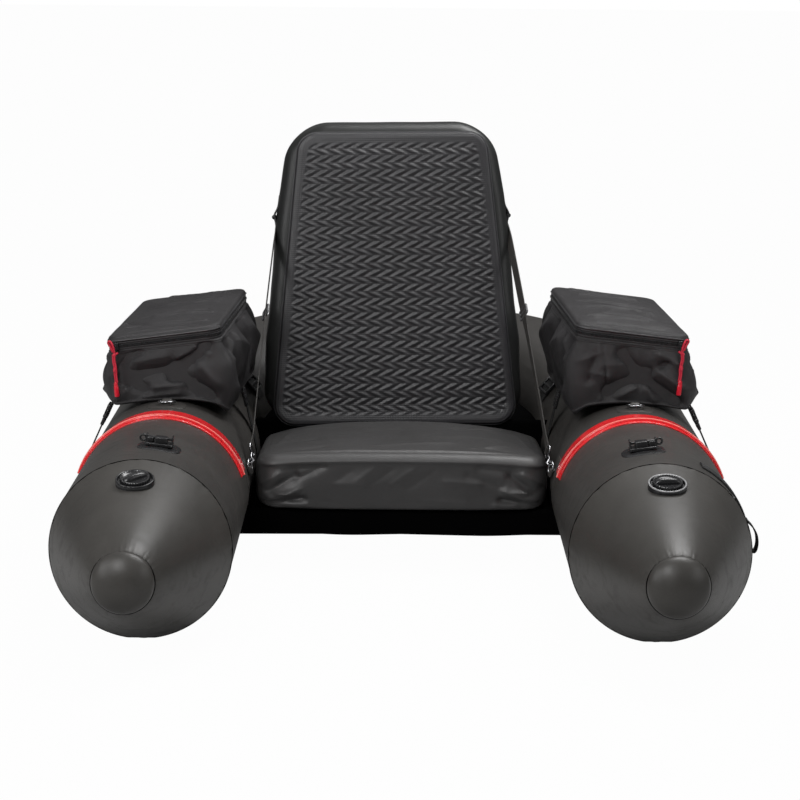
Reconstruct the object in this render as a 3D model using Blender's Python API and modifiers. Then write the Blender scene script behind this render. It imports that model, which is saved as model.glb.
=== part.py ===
"""Float tube: a U-shaped inflatable for one angler, with a seat, a backrest and two gear bags.

Metres, +Z up. The two conical noses point to -Y, the closed stern is at +Y, and +X is on the
right of someone who looks at the open end from the front. The origin is at the middle of the
hull on the ground, where the flat keel strips of both pontoons rest.
"""

import math

import bmesh
import bpy
from mathutils import Matrix, Vector

for leftover in list(bpy.data.objects):
    bpy.data.objects.remove(leftover, do_unlink=True)

mm = 0.001

# Clearances that every seat and every cut uses
touch_gap = 0.3 * mm
facet_gap = 1.0 * mm
overrun = 6.0 * mm

# Hull tube: one radius all round, two straight pontoons and a raised stern bend
overall_length = 1700.0 * mm
tube_radius = 149.0 * mm
axis_half_spacing = 422.0 * mm
keel_flat = 1.0 * mm
stern_bend_length = 391.0 * mm
stern_stub = 10.0 * mm
stern_rise = 72.0 * mm
tube_sides = 36
stern_steps = 22

# Nose cone and the round patch that closes it
nose_length = 267.0 * mm
nose_rise = 13.6 * mm
dome_radius = 49.0 * mm
dome_bulge = 30.0 * mm
nose_fullness = 0.85
nose_steps = 6
dome_steps = 28

# Red band over each pontoon, with a round bead near its front edge
band_before_tow_ring = 65.0 * mm
band_width = 75.0 * mm
band_thickness = 2.0 * mm
bead_radius = 4.0 * mm
bead_from_front = 19.0 * mm
band_angle = 72

# Rub strake: a rubber strip with three ribs along the outer flank
strake_from_seam = 97.0 * mm
strake_before_bend = 126.0 * mm
strake_thickness = 2.0 * mm
strake_rib_height = 4.5 * mm
strake_edge_angles = (79, 99)
strake_rib_angles = (83, 89, 95)
strake_rib_half_angle = 1.6
strake_top = touch_gap + strake_thickness + strake_rib_height

# Inflation valve on top of each nose cone
valve_from_seam = 75.0 * mm
valve_flange_radius = 31.0 * mm
valve_flange_thickness = 2.5 * mm
valve_skirt_depth = 6.0 * mm
valve_neck_radius = 19.0 * mm
valve_neck_height = 11.5 * mm
valve_bore_radius = 12.0 * mm
valve_floor_height = 2.0 * mm
plunger_height = 6.5 * mm
plunger_thickness = 2.0 * mm
plunger_stem_radius = 4.0 * mm
plunger_stem_top = 11.5 * mm
cap_radius = 24.0 * mm
cap_side_gap = 1.0 * mm
cap_roof = 2.2 * mm
cap_dome = 2.0 * mm
cap_foot_gap = 0.5 * mm
grip_length = 37.0 * mm
grip_width = 10.0 * mm
grip_height = 5.0 * mm
grip_turn = 35

# Seat: a fabric sheet between the pontoons and a box cushion on it
seat_before_bend = 388.0 * mm
cushion_depth = 340.0 * mm
cushion_width = 510.0 * mm
cushion_thickness = 93.0 * mm
cushion_floor_height = 112.0 * mm
cushion_crown = 9.0 * mm
cushion_draw_in = 9.0 * mm
cushion_edge_round = 16.0 * mm
sheet_thickness = 3.0 * mm
sheet_flap_depth = 44.0 * mm
sheet_hem = 7.0 * mm
sheet_tail = 8.0 * mm
tab_thickness = 2.5 * mm
tab_angles = (-90, -122)

# Backrest: an inflated slab with a moulded foam pad, hinged at its front lower edge
backrest_lean = 8.0
backrest_height = 565.0 * mm
backrest_sides = ((0, 250), (150, 245.5), (220, 236.7), (280, 231.2), (360, 225.8),
                  (430, 217.2), (480, 208.5), (530, 199.5), (565, 194))
backrest_thickness = 78.0 * mm
backrest_edge_round = 24.0 * mm
backrest_corner = 52.0 * mm
backrest_foot_gap = 3.0 * mm
hinge_height = 215.0 * mm
hinge_behind_cushion = 6.0 * mm
hinge_roll_radius = 4.5 * mm
hinge_roll_length = 400.0 * mm
hinge_web = 5.0 * mm
pad_thickness = 12.0 * mm
pad_edge_round = 4.5 * mm
pad_inset = 12.0 * mm
pad_foot = 7.0 * mm
pad_top_inset = 15.0 * mm
pad_corner = 36.0 * mm

# Rear deck: the fabric sheet behind the seat that carries the backrest
deck_thickness = 3.0 * mm
deck_dip_reach = 78.0 * mm
deck_dip_depth = 26.0 * mm
deck_rear_reach = 320.0 * mm
deck_rear_rise = 47.0 * mm

# Gear bags: hollow boxes that sit on the pontoons, leaning outwards and toed in
bag_width = 205.0 * mm
bag_length_share = 0.48667
bag_height = 128.0 * mm
bag_past_bend = 80.0 * mm
bag_wall = 4.0 * mm
bag_corner = 24.0 * mm
bag_bulge = 6.0 * mm
bag_lean = 5.0
bag_toe = 3.6
bag_inboard = 25.0 * mm
bag_saddle_share = 0.4
bag_saddle_flat = 15.0 * mm
bag_rear_margin = 12.0 * mm
lid_skirt = 18.0 * mm
lid_crown = 7.0 * mm
lid_shoulder = 5.0 * mm

# Zip slider with its red pull cord and moulded end
slider_size = (9.0 * mm, 5.0 * mm, 14.0 * mm)
slider_from_corner = 19.0 * mm
slider_eye_drop = 4.0 * mm
slider_stand_off = 1.6 * mm
pull_cord_radius = 1.2 * mm
pull_cord_steps = 14
pull_end_radius = 3.6 * mm
pull_end_length = 25.0 * mm
pull_route = ((0, 0, 0), (-3, -1.2, -10), (-8, -2.6, -21), (-11, -3.6, -33),
              (-12.5, -4.2, -47), (-13, -4.4, -58))

# Webbing and side-release buckle at each bag's outer lower corner
webbing_width = 25.0 * mm
webbing_thickness = 2.0 * mm
buckle_from_bag_front = 30.0 * mm
buckle_height_on_bag = 3.0 * mm
buckle_stand_off = 4.2 * mm
buckle_width = 32.0 * mm
buckle_thickness = 9.0 * mm
buckle_wall = 1.8 * mm
socket_length = 27.0 * mm
socket_tab_length = 9.0 * mm
window_length = 12.0 * mm
plug_length = 13.0 * mm
plug_slot = 3.6 * mm
prong_length = 19.0 * mm
prong_width = 4.0 * mm
prong_gap = 0.6 * mm
tongue_length = 13.0 * mm
outer_strap_touch_angle = 76
outer_strap_end_angles = (112, 119)

# Webbing with ladder-locks on the inner flanks, under each bag
inner_front_before_bend = 143.0 * mm
inner_rear_past_bend = 130.0 * mm
inner_front_end_angle = -88
inner_rear_angles = (-24, -64)
inner_rear_lock_angle = -52
inner_rear_gap = 1.6 * mm
inner_touch_before_end = 9
inner_strap_height_on_bag = -5.0 * mm
lock_length = 30.0 * mm
lock_width = 32.0 * mm
lock_thickness = 8.0 * mm
lock_bar = 4.0 * mm
lock_slot_width = 26.4 * mm

# Steel rings: towing rings on top of the tube and hook rings on its inner flank
ring_wire = 2.2 * mm
ring_half_width = 14.0 * mm
ring_depth = 21.0 * mm
ring_keeper_radius = 5.5 * mm
ring_keeper_length = 18.0 * mm
ring_bore_gap = 0.5 * mm
ring_patch_thickness = 1.6 * mm
ring_bar_lift = 6.0 * mm
tow_ring_before_bag = 38.0 * mm
tow_ring_patch = (31.0 * mm, 34.0 * mm)
hook_ring_behind_band = 33.0 * mm
hook_ring_angle = -76
hook_ring_lift = 6.0 * mm
hook_ring_patch = (32.0 * mm, 30.0 * mm)

# Backrest straps: webbing with a slider, and a wire hook at the lower end
strap_width = 20.0 * mm
strap_thickness = 1.8 * mm
strap_anchor_height = 385.0 * mm
strap_anchor_length = 22.0 * mm
twist_share = 0.12
strap_seat_gap = 1.3 * mm
hook_wire = 2.0 * mm
hook_bend_radius = 5.2 * mm
hook_shank = 14.0 * mm
hook_eye_half_width = 14.0 * mm
hook_eye_height = 10.0 * mm
strap_loop_radius = 4.6 * mm
slider_place_share = 0.55
strap_slider_size = (28.0 * mm, 5.0 * mm, 20.0 * mm)
strap_slider_gap = 0.6 * mm
strap_slider_window = 5.0 * mm

# Accessory clip on top of each pontoon, between the seam and the red band
clip_from_seam = 116.0 * mm
clip_angle = -8
clip_patch = (37.0 * mm, 37.0 * mm)
clip_patch_thickness = 1.5 * mm
clip_base = (46.0 * mm, 30.0 * mm, 5.0 * mm)
clip_block = (20.0 * mm, 22.0 * mm, 10.0 * mm)
clip_ear = (4.5 * mm, 19.0 * mm, 15.0 * mm)
clip_bar_radius = 2.5 * mm
clip_round = 1.2 * mm

# Flank strap with a hanging hand loop, on the right pontoon only
flank_from_seam = 52.0 * mm
flank_width = 38.0 * mm
flank_angles = (28, 73)
loop_webbing_width = 25.0 * mm
loop_root_angle = 74.8
loop_roll_radius = 3.4 * mm
loop_thickness = 2.2 * mm
hand_loop_route = ((-1.4, 1.0), (0.6, 12), (2.3, 24), (3.4, 36), (5.0, 45), (8.5, 50),
                   (12, 46), (14, 35), (12.5, 21), (7.5, 9), (1.8, 0.8))

# Places that follow from the sizes above
nose_tip_y = -overall_length / 2
dome_circle_y = nose_tip_y + dome_bulge
seam_y = dome_circle_y + nose_length
stern_axis_y = overall_length / 2 - tube_radius
arc_start_y = stern_axis_y - stern_bend_length
pontoon_end_y = arc_start_y - stern_stub
axis_height = tube_radius - keel_flat
straight_length = arc_start_y - seam_y
cushion_front_y = arc_start_y - seat_before_bend
outer_strap_lift = strake_top + facet_gap + webbing_thickness / 2
cushion_back_y = cushion_front_y + cushion_depth
hinge_y = cushion_back_y + hinge_behind_cushion
bag_length = straight_length * bag_length_share
bag_front_y = arc_start_y + bag_past_bend - bag_length
bag_middle_y = bag_front_y + bag_length / 2
tow_ring_y = bag_front_y - tow_ring_before_bag
band_back_y = tow_ring_y - band_before_tow_ring
strake_start_y = seam_y + strake_from_seam
strake_end_y = arc_start_y - strake_before_bend
bag_seam_height = bag_height - lid_skirt
facet_step = 360 // tube_sides

parts = bpy.data.collections.new("float_tube")
cutters = bpy.data.collections.new("float_tube_cutters")
bpy.context.scene.collection.children.link(parts)
bpy.context.scene.collection.children.link(cutters)


def make_material(name, color, roughness, metallic=0.0):
    """A Principled material of one colour."""
    material = bpy.data.materials.new(name)
    material.use_nodes = True
    shader = material.node_tree.nodes["Principled BSDF"]
    shader.inputs["Base Color"].default_value = (*color, 1.0)
    shader.inputs["Roughness"].default_value = roughness
    shader.inputs["Metallic"].default_value = metallic
    return material


hull_fabric = make_material("hull_fabric", (0.070, 0.066, 0.062), 0.42)
cone_fabric = make_material("cone_fabric", (0.075, 0.072, 0.068), 0.40)
red_rubber = make_material("red_rubber", (0.75, 0.015, 0.02), 0.35)
black_rubber = make_material("black_rubber", (0.02, 0.02, 0.022), 0.55)
black_plastic = make_material("black_plastic", (0.015, 0.015, 0.017), 0.30)
grey_plastic = make_material("grey_plastic", (0.30, 0.30, 0.31), 0.35)
bag_fabric = make_material("bag_fabric", (0.028, 0.026, 0.028), 0.62)
seat_fabric = make_material("seat_fabric", (0.055, 0.053, 0.053), 0.45)
back_fabric = make_material("back_fabric", (0.020, 0.020, 0.022), 0.45)
foam_pad = make_material("foam_pad", (0.032, 0.030, 0.034), 0.70)
sheet_fabric = make_material("sheet_fabric", (0.012, 0.012, 0.013), 0.60)
webbing = make_material("webbing", (0.030, 0.030, 0.032), 0.75)
steel = make_material("steel", (0.70, 0.70, 0.70), 0.25, 1.0)
red_cord = make_material("red_cord", (0.55, 0.01, 0.03), 0.60)
red_plastic = make_material("red_plastic", (0.70, 0.01, 0.03), 0.35)


def show(name, data, material, parent=None, matrix=None):
    """Put mesh or curve data on show as one named piece."""
    piece = bpy.data.objects.new(name, data)
    data.materials.append(material)
    parts.objects.link(piece)
    piece.parent = parent
    if matrix is not None:
        piece.matrix_basis = matrix
    return piece


def hide_away(piece):
    """Turn a piece into a cutter or a pattern that isn't part of the object."""
    parts.objects.unlink(piece)
    cutters.objects.link(piece)
    piece.hide_render = True
    piece.display_type = "WIRE"
    return piece


def finish_mesh(builder, name, smooth_angle=None):
    """Turn a bmesh into mesh data with outward faces, shaded smooth below the given angle."""
    bmesh.ops.recalc_face_normals(builder, faces=builder.faces)
    data = bpy.data.meshes.new(name)
    builder.to_mesh(data)
    builder.free()
    if smooth_angle is not None:
        data.shade_smooth()
        data.set_sharp_from_angle(angle=math.radians(smooth_angle))
    return data


def loft(name, rings, material, smooth_angle=35, parent=None, matrix=None):
    """A closed solid through rings of equal point counts, with a flat face at each end."""
    builder = bmesh.new()
    rows = [[builder.verts.new(point) for point in ring] for ring in rings]
    count = len(rows[0])
    for near, far in zip(rows, rows[1:]):
        for i in range(count):
            j = (i + 1) % count
            builder.faces.new((near[i], near[j], far[j], far[i]))
    builder.faces.new(rows[0])
    builder.faces.new(rows[-1])
    return show(name, finish_mesh(builder, name, smooth_angle), material, parent, matrix)


def to_mesh(piece):
    """Swap a curve piece for a mesh piece with welded caps."""
    bpy.context.view_layer.update()
    graph = bpy.context.evaluated_depsgraph_get()
    data = bpy.data.meshes.new_from_object(piece.evaluated_get(graph))
    builder = bmesh.new()
    builder.from_mesh(data)
    bmesh.ops.remove_doubles(builder, verts=builder.verts, dist=weld_distance)
    bmesh.ops.recalc_face_normals(builder, faces=builder.faces)
    builder.to_mesh(data)
    builder.free()
    data.shade_smooth()
    data.set_sharp_from_angle(angle=math.radians(35))
    name = piece.name
    parent = piece.parent
    basis = piece.matrix_basis.copy()
    bpy.data.objects.remove(piece, do_unlink=True)
    solid = bpy.data.objects.new(name, data)
    parts.objects.link(solid)
    solid.parent = parent
    solid.matrix_basis = basis
    return solid


weld_distance = 0.02 * mm


def rod(name, points, radius, material, sides_level=2, radii=None, closed=False, parent=None,
        matrix=None):
    """A round bar along the points: a curve with a bevel and filled caps."""
    data = bpy.data.curves.new(name, "CURVE")
    data.dimensions = "3D"
    data.twist_mode = "Z_UP"
    data.bevel_depth = radius
    data.bevel_resolution = sides_level
    data.use_fill_caps = not closed
    line = data.splines.new("POLY")
    line.points.add(len(points) - 1)
    line.use_cyclic_u = closed
    line.use_smooth = True
    for i, place in enumerate(points):
        line.points[i].co = (*place, 1.0)
        line.points[i].radius = 1.0 if radii is None else radii[i] / radius
    return show(name, data, material, parent, matrix)


def turned(name, profile, steps, material, parent=None, matrix=None):
    """A turned solid: the profile of (radius, height) runs from the top down its outer side."""
    data = bpy.data.meshes.new(name)
    points = [(radius, 0.0, height) for radius, height in profile]
    edges = [(i, i + 1) for i in range(len(points) - 1)]
    data.from_pydata(points, edges, [])
    piece = show(name, data, material, parent, matrix)
    screw = piece.modifiers.new("turn", "SCREW")
    screw.steps = steps
    screw.render_steps = steps
    screw.use_merge_vertices = True
    screw.merge_threshold = weld_distance
    screw.use_smooth_shade = True
    return piece


def plate(name, outline, half_depth, edge_round, material, level=3, parent=None, matrix=None):
    """A flat outline in local X and Z with depth along Y and rounded edges."""
    data = bpy.data.curves.new(name, "CURVE")
    data.dimensions = "2D"
    data.fill_mode = "BOTH"
    data.extrude = half_depth - edge_round
    data.bevel_depth = edge_round
    data.bevel_resolution = level
    data.offset = -edge_round
    line = data.splines.new("POLY")
    line.points.add(len(outline) - 1)
    line.use_cyclic_u = True
    for i, (across, up) in enumerate(outline):
        line.points[i].co = (across, up, 0.0, 1.0)
    turn = Matrix.Rotation(math.radians(90), 4, "X")
    basis = turn if matrix is None else matrix @ turn
    return show(name, data, material, parent, basis)


def block(name, size, material, middle=(0, 0, 0), edge_round=0.0, parent=None, matrix=None):
    """A box of the given size around its middle, with bevelled edges."""
    builder = bmesh.new()
    place = Matrix.Translation(middle) @ Matrix.Diagonal((*size, 1.0))
    bmesh.ops.create_cube(builder, size=1.0, matrix=place)
    piece = show(name, finish_mesh(builder, name), material, parent, matrix)
    if edge_round > 0:
        bevel = piece.modifiers.new("edge", "BEVEL")
        bevel.width = edge_round
        bevel.segments = 2
        bevel.limit_method = "ANGLE"
    return piece


def cylinder(name, radius, length, material, sides=20, middle=(0, 0, 0), turn=None, parent=None,
             matrix=None):
    """A round bar of the given length, along local Z unless it is turned."""
    builder = bmesh.new()
    place = Matrix.Translation(middle)
    if turn is not None:
        place = place @ turn
    bmesh.ops.create_cone(builder, cap_ends=True, segments=sides, radius1=radius, radius2=radius,
                          depth=length, matrix=place)
    return show(name, finish_mesh(builder, name, 35), material, parent, matrix)


def cut(piece, cutter):
    """Take the cutter's shape out of the piece."""
    modifier = piece.modifiers.new("cut", "BOOLEAN")
    modifier.operation = "DIFFERENCE"
    modifier.object = cutter
    return piece


def fuse(piece, other):
    """Join another solid to the piece."""
    hide_away(other)
    modifier = piece.modifiers.new("join", "BOOLEAN")
    modifier.operation = "UNION"
    modifier.object = other
    return piece


def smooth_step(share):
    """Rise from 0 to 1 with level ends."""
    share = min(max(share, 0.0), 1.0)
    return share * share * (3.0 - 2.0 * share)


def frame_at(origin, up, across):
    """A matrix at the origin whose Z is up and whose X is as near as it can be to across."""
    z_axis = up.normalized()
    y_axis = z_axis.cross(across).normalized()
    x_axis = y_axis.cross(z_axis)
    matrix = Matrix((x_axis, y_axis, z_axis)).transposed().to_4x4()
    matrix.translation = origin
    return matrix


def smooth_route(points, count):
    """Places at equal shares of a Catmull-Rom curve through the points."""
    ends = [2 * points[0] - points[1]] + list(points) + [2 * points[-1] - points[-2]]
    places = []
    for i in range(count):
        share = i / (count - 1) * (len(points) - 1)
        k = min(int(share), len(points) - 2)
        t = share - k
        a, b, c, d = ends[k:k + 4]
        places.append(0.5 * (2 * b + (c - a) * t + (2 * a - 5 * b + 4 * c - d) * t ** 2
                             + (3 * b - a - 3 * c + d) * t ** 3))
    return places


def side_name(side):
    """The word for the left (-1) or the right (+1) side of the picture."""
    return "right" if side > 0 else "left"


def stern_lift(y):
    """Height that the hull axis has gained at y, on its way to the raised stern."""
    return stern_rise * smooth_step((y - arc_start_y) / stern_bend_length)


def stern_place(turn):
    """Point of the hull axis on the stern bend, from 0 at the right to pi at the left."""
    y = arc_start_y + stern_bend_length * math.sin(turn)
    return Vector((axis_half_spacing * math.cos(turn), y, axis_height + stern_lift(y)))


def hull_section(side, y):
    """Centre, outward direction and upward direction of the tube's section at y."""
    if y <= arc_start_y:
        centre = Vector((side * axis_half_spacing, y, axis_height))
        return centre, Vector((side, 0, 0)), Vector((0, 0, 1))
    turn = math.asin((y - arc_start_y) / stern_bend_length)
    small_turn = math.radians(1)
    centre = stern_place(turn)
    along = (stern_place(turn + small_turn) - stern_place(turn - small_turn)).normalized()
    up = (Vector((0, 0, 1)) - along * along.z).normalized()
    outward = along.cross(up)
    mirror = Vector((side, 1, 1))
    return centre * mirror, outward * mirror, up * mirror


def on_tube(side, y, angle, lift=0.0):
    """Point above the tube's surface, at an angle outwards from its top line."""
    centre, outward, up = hull_section(side, y)
    turn = math.radians(angle)
    return centre + (tube_radius + lift) * (outward * math.sin(turn) + up * math.cos(turn))


def nose_radius(ahead):
    """Radius of the nose cone at a distance ahead of the seam."""
    return dome_radius + (tube_radius - dome_radius) * (1 - ahead / nose_length) ** nose_fullness


def nose_centre(side, ahead):
    """Axis point of the nose cone at a distance ahead of the seam."""
    height = axis_height + nose_rise * ahead / nose_length
    return Vector((side * axis_half_spacing, seam_y - ahead, height))


def wrap_angles(start, end):
    """Angles from start to end with a stop at every facet edge of the tube."""
    low, high = min(start, end), max(start, end)
    first = math.floor(low / facet_step) + 1
    last = math.ceil(high / facet_step) - 1
    stops = [low] + [k * facet_step for k in range(first, last + 1)] + [high]
    return stops if start <= end else stops[::-1]


def wrapped(name, side, profile, start, end, material, parent=None):
    """A strip that lies on the tube: its profile of (y, lift) carried round the axis."""
    rings = [[on_tube(side, y, angle, lift) for y, lift in profile]
             for angle in wrap_angles(start, end)]
    return loft(name, rings, material, parent=parent)


def tube_patch(name, side, middle_y, middle_angle, half_size, thickness, material):
    """A rounded patch glued on the tube, half_size along y and round the tube."""
    half_turn = math.degrees(half_size[1] / tube_radius)
    rings = []
    for angle in wrap_angles(middle_angle - half_turn, middle_angle + half_turn):
        share = min(abs(angle - middle_angle) / half_turn, patch_end_share)
        half = half_size[0] * (1 - share ** 2.6) ** (1 / 2.6)
        low, high = touch_gap, touch_gap + thickness
        rings.append([on_tube(side, middle_y + sign * half, angle, lift)
                      for sign, lift in ((-1, low), (1, low), (1, high), (-1, high))])
    return loft(name, rings, material)


patch_end_share = 0.97


def pontoon(name, side, material, grown=0.0):
    """One straight tube with its cone, grown by a clearance where it serves as a cutter."""
    places = []
    radii = []
    for i in range(nose_steps + 1):
        ahead = nose_length * (1 - i / nose_steps)
        places.append(nose_centre(side, ahead))
        radii.append(nose_radius(ahead) + grown)
    straight = pontoon_end_y - touch_gap - seam_y
    if grown > 0:
        straight = pontoon_end_y + overrun - seam_y
    for share in (0.25, 0.5, 0.75, 1.0):
        places.append(Vector((side * axis_half_spacing, seam_y + straight * share, axis_height)))
        radii.append(tube_radius + grown)
    level = (tube_sides - 4) // 2
    return to_mesh(rod(name, places, tube_radius, material, level, radii))


def stern(name, material, grown=0.0):
    """The raised bend that joins both pontoons behind the seat."""
    stub = Vector((0, -stern_stub - grown, 0))
    places = [stern_place(0) + stub]
    places += [stern_place(math.pi * i / stern_steps) for i in range(stern_steps + 1)]
    places += [stern_place(math.pi) + stub]
    radii = [tube_radius + grown] * len(places)
    level = (tube_sides - 4) // 2
    return to_mesh(rod(name, places, tube_radius, material, level, radii))


# Hull tubes with their flat keel strips
keel_cutter = hide_away(block("keel_cutter", (2 * overall_length, 2 * overall_length, tube_radius),
                              black_rubber, (0, 0, -tube_radius / 2)))
hull_cutters = {}
for side in (-1, 1):
    tube = pontoon(side_name(side) + "_pontoon", side, hull_fabric)
    cut(tube, keel_cutter)
    hull_cutters[side] = hide_away(pontoon(side_name(side) + "_tube_space", side, hull_fabric,
                                           touch_gap))
cut(stern("stern_tube", hull_fabric), keel_cutter)
hull_cutters[0] = hide_away(stern("stern_tube_space", hull_fabric, facet_gap))


def nose_dome(side):
    """The moulded round patch that closes the cone."""
    direction = (nose_centre(side, nose_length) - nose_centre(side, 0)).normalized()
    profile = []
    for i in range(8):
        turn = math.radians(90) * i / 7
        bulge = dome_bulge - touch_gap
        profile.append((dome_radius * math.sin(turn), touch_gap + bulge * math.cos(turn)))
    profile.append((0.0, touch_gap))
    matrix = frame_at(nose_centre(side, nose_length), direction, Vector((1, 0, 0)))
    turned(side_name(side) + "_nose_dome", profile, dome_steps, cone_fabric, matrix=matrix)


def red_band(side):
    """The red rubber band with its round bead, from flank to flank over the top."""
    back = band_back_y
    front = back - band_width
    low = touch_gap
    high = touch_gap + band_thickness
    bead = front + bead_from_front
    profile = [(front, low), (front, high)]
    for i in range(5):
        turn = math.pi * i / 4
        profile.append((bead - bead_radius * math.cos(turn), high + bead_radius * math.sin(turn)))
    profile += [(back, high), (back, low)]
    wrapped(side_name(side) + "_red_band", side, profile, -band_angle, band_angle, red_rubber)


def rub_strake(side):
    """The rubber strip with three ribs along the outer flank."""
    first, last = strake_edge_angles
    low = touch_gap
    high = touch_gap + strake_thickness
    outline = [(first, low)]
    outline.append((first, high))
    for angle in strake_rib_angles:
        top = high + strake_rib_height
        outline.append((angle - strake_rib_half_angle, high))
        outline.append((angle - strake_rib_half_angle / 2, top))
        outline.append((angle + strake_rib_half_angle / 2, top))
        outline.append((angle + strake_rib_half_angle, high))
    outline.append((last, high))
    outline += [(angle, low) for angle in reversed(wrap_angles(first, last)[1:])]
    middle = (strake_start_y + strake_end_y) / 2
    rings = [[on_tube(side, y, angle, lift) for angle, lift in outline]
             for y in (strake_start_y, middle, strake_end_y)]
    loft(side_name(side) + "_rub_strake", rings, black_rubber)


def valve(side):
    """Valve body welded into the cone, its plunger, and the screw cap with a grip."""
    name = side_name(side)
    step = 1.0 * mm
    ahead = valve_from_seam
    slope = (nose_radius(ahead - step) - nose_radius(ahead + step) - 2 * step * nose_rise
             / nose_length) / (2 * step)
    seat = nose_centre(side, ahead) + Vector((0, 0, nose_radius(ahead)))
    normal = Vector((0, -slope, 1)).normalized()
    matrix = frame_at(seat, normal, Vector((1, 0, 0)))
    rim = valve_flange_thickness
    body = turned(name + "_valve_body", [
        (0.0, valve_floor_height), (valve_bore_radius, valve_floor_height),
        (valve_bore_radius, valve_neck_height), (valve_neck_radius, valve_neck_height),
        (valve_neck_radius, rim), (valve_flange_radius - rim, rim),
        (valve_flange_radius, rim / 2), (valve_flange_radius, -valve_skirt_depth),
        (0.0, -valve_skirt_depth)], 32, grey_plastic, matrix=matrix)
    cut(body, hull_cutters[side])
    disc = valve_bore_radius - touch_gap
    turned(name + "_valve_plunger", [
        (0.0, plunger_stem_top), (plunger_stem_radius, plunger_stem_top),
        (plunger_stem_radius, plunger_height + plunger_thickness),
        (disc, plunger_height + plunger_thickness), (disc, plunger_height),
        (0.0, plunger_height)], 20, black_rubber, matrix=matrix)
    inside = valve_neck_radius + cap_side_gap
    ceiling = max(valve_neck_height, plunger_stem_top) + cap_foot_gap
    top = ceiling + cap_roof
    foot = rim + cap_foot_gap
    cap = turned(name + "_valve_cap", [
        (0.0, top + cap_dome), (cap_radius * 0.6, top + cap_dome * 0.7), (cap_radius - rim, top),
        (cap_radius, top - rim), (cap_radius, foot), (inside, foot), (inside, ceiling),
        (0.0, ceiling)], 32, black_plastic, matrix=matrix)
    turn = Matrix.Rotation(math.radians(grip_turn * side), 4, "Z")
    outline = []
    for i in range(16):
        angle = math.tau * i / 16
        outline.append((grip_length / 2 * math.cos(angle), grip_width / 2 * math.sin(angle)))
    grip_foot = top - cap_roof / 2
    rings = []
    for height, share in ((grip_foot, 1.0), (top + grip_height * 0.6, 0.95),
                          (top + grip_height, 0.75)):
        rings.append([(x * share, y * share, height) for x, y in outline])
    fuse(cap, loft(name + "_valve_grip", rings, black_plastic, matrix=matrix @ turn))


for side in (-1, 1):
    nose_dome(side)
    red_band(side)
    rub_strake(side)
    valve(side)


def profile_prism(name, outline, half_width, material):
    """A sheet profile in Y and Z, carried from side to side."""
    rings = [[(x, y, z) for y, z in outline] for x in (-half_width, half_width)]
    return loft(name, rings, material)


def seat_sheet():
    """The fabric sheet under the cushion, with a front flap, a hem and glued side tabs."""
    front = cushion_front_y
    back = cushion_back_y + sheet_tail
    top = cushion_floor_height - touch_gap
    under = top - sheet_thickness
    foot = top - sheet_flap_depth
    outline = [(front, top), (back, top), (back, under), (front + sheet_thickness, under),
               (front + sheet_thickness, foot + sheet_hem), (front + sheet_hem, foot + sheet_hem),
               (front + sheet_hem, foot), (front, foot)]
    sheet = profile_prism("seat_base_sheet", outline, axis_half_spacing, sheet_fabric)
    for side in (-1, 1):
        cut(sheet, hull_cutters[side])
    for side in (-1, 1):
        low, high = touch_gap, touch_gap + tab_thickness
        strip = [(front, low), (front, high), (cushion_back_y, high), (cushion_back_y, low)]
        tab = wrapped(side_name(side) + "_seat_tab", side, strip, *tab_angles, sheet_fabric)
        fuse(sheet, tab)


def seat_cushion():
    """The box cushion: crowned top, sides that draw in between the corners, round edges."""
    half = Vector((cushion_width / 2, cushion_depth / 2, cushion_thickness / 2))
    builder = bmesh.new()
    bmesh.ops.create_cube(builder, size=2.0)
    bmesh.ops.subdivide_edges(builder, edges=builder.edges, cuts=5, use_grid_fill=True)
    for vert in builder.verts:
        u, v, w = vert.co
        pull_x = cushion_draw_in * u * (1 - v * v) * (1 - w * w)
        pull_y = cushion_draw_in * v * (1 - u * u) * (1 - w * w)
        edge = abs(u) ** 8 + abs(v) ** 8
        drop = cushion_edge_round * min(edge, 1.0) ** 2 * 0.5 * (1 + w) * w
        swell = cushion_crown * (1 - u ** 4) * (1 - v ** 4) * max(w, 0.0)
        vert.co = (half.x * u - pull_x, half.y * v - pull_y,
                   half.z * w - drop * (w > 0.5) + swell)
    data = finish_mesh(builder, "seat_cushion", 60)
    middle = Vector((0, (cushion_front_y + cushion_back_y) / 2, cushion_floor_height + half.z))
    cushion = show("seat_cushion", data, seat_fabric, matrix=Matrix.Translation(middle))
    smooth = cushion.modifiers.new("soft", "SUBSURF")
    smooth.levels = 1
    smooth.render_levels = 1


def backrest_side(height):
    """Half width of the backrest at a height along its front face."""
    for (low, wide), (high, narrow) in zip(backrest_sides, backrest_sides[1:]):
        if height <= high * mm:
            return (wide + (narrow - wide) * (height / mm - low) / (high - low)) * mm
    return backrest_sides[-1][1] * mm


def tapered_outline(foot, top, inset, corner):
    """The backrest's tapered outline between two heights, with round corners."""
    right = []
    for i in range(7):
        turn = math.radians(90) * i / 6
        height = foot + corner * (1 - math.cos(turn))
        side_inset = inset + corner * (1 - math.sin(turn))
        right.append((backrest_side(height) - side_inset, height))
    for height, _ in backrest_sides:
        if foot + corner < height * mm < top - corner:
            right.append((backrest_side(height * mm) - inset, height * mm))
    for i in range(7):
        turn = math.radians(90) * i / 6
        height = top - corner * (1 - math.sin(turn))
        side_inset = inset + corner * (1 - math.cos(turn))
        right.append((backrest_side(height) - side_inset, height))
    return right + [(-x, z) for x, z in reversed(right)]


backrest_frame = bpy.data.objects.new("backrest_hinge", None)
parts.objects.link(backrest_frame)
backrest_frame.location = (0, hinge_y, hinge_height)
backrest_frame.rotation_euler = (math.radians(-backrest_lean), 0, 0)
bpy.context.view_layer.update()
backrest_matrix = backrest_frame.matrix_world.copy()


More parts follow.
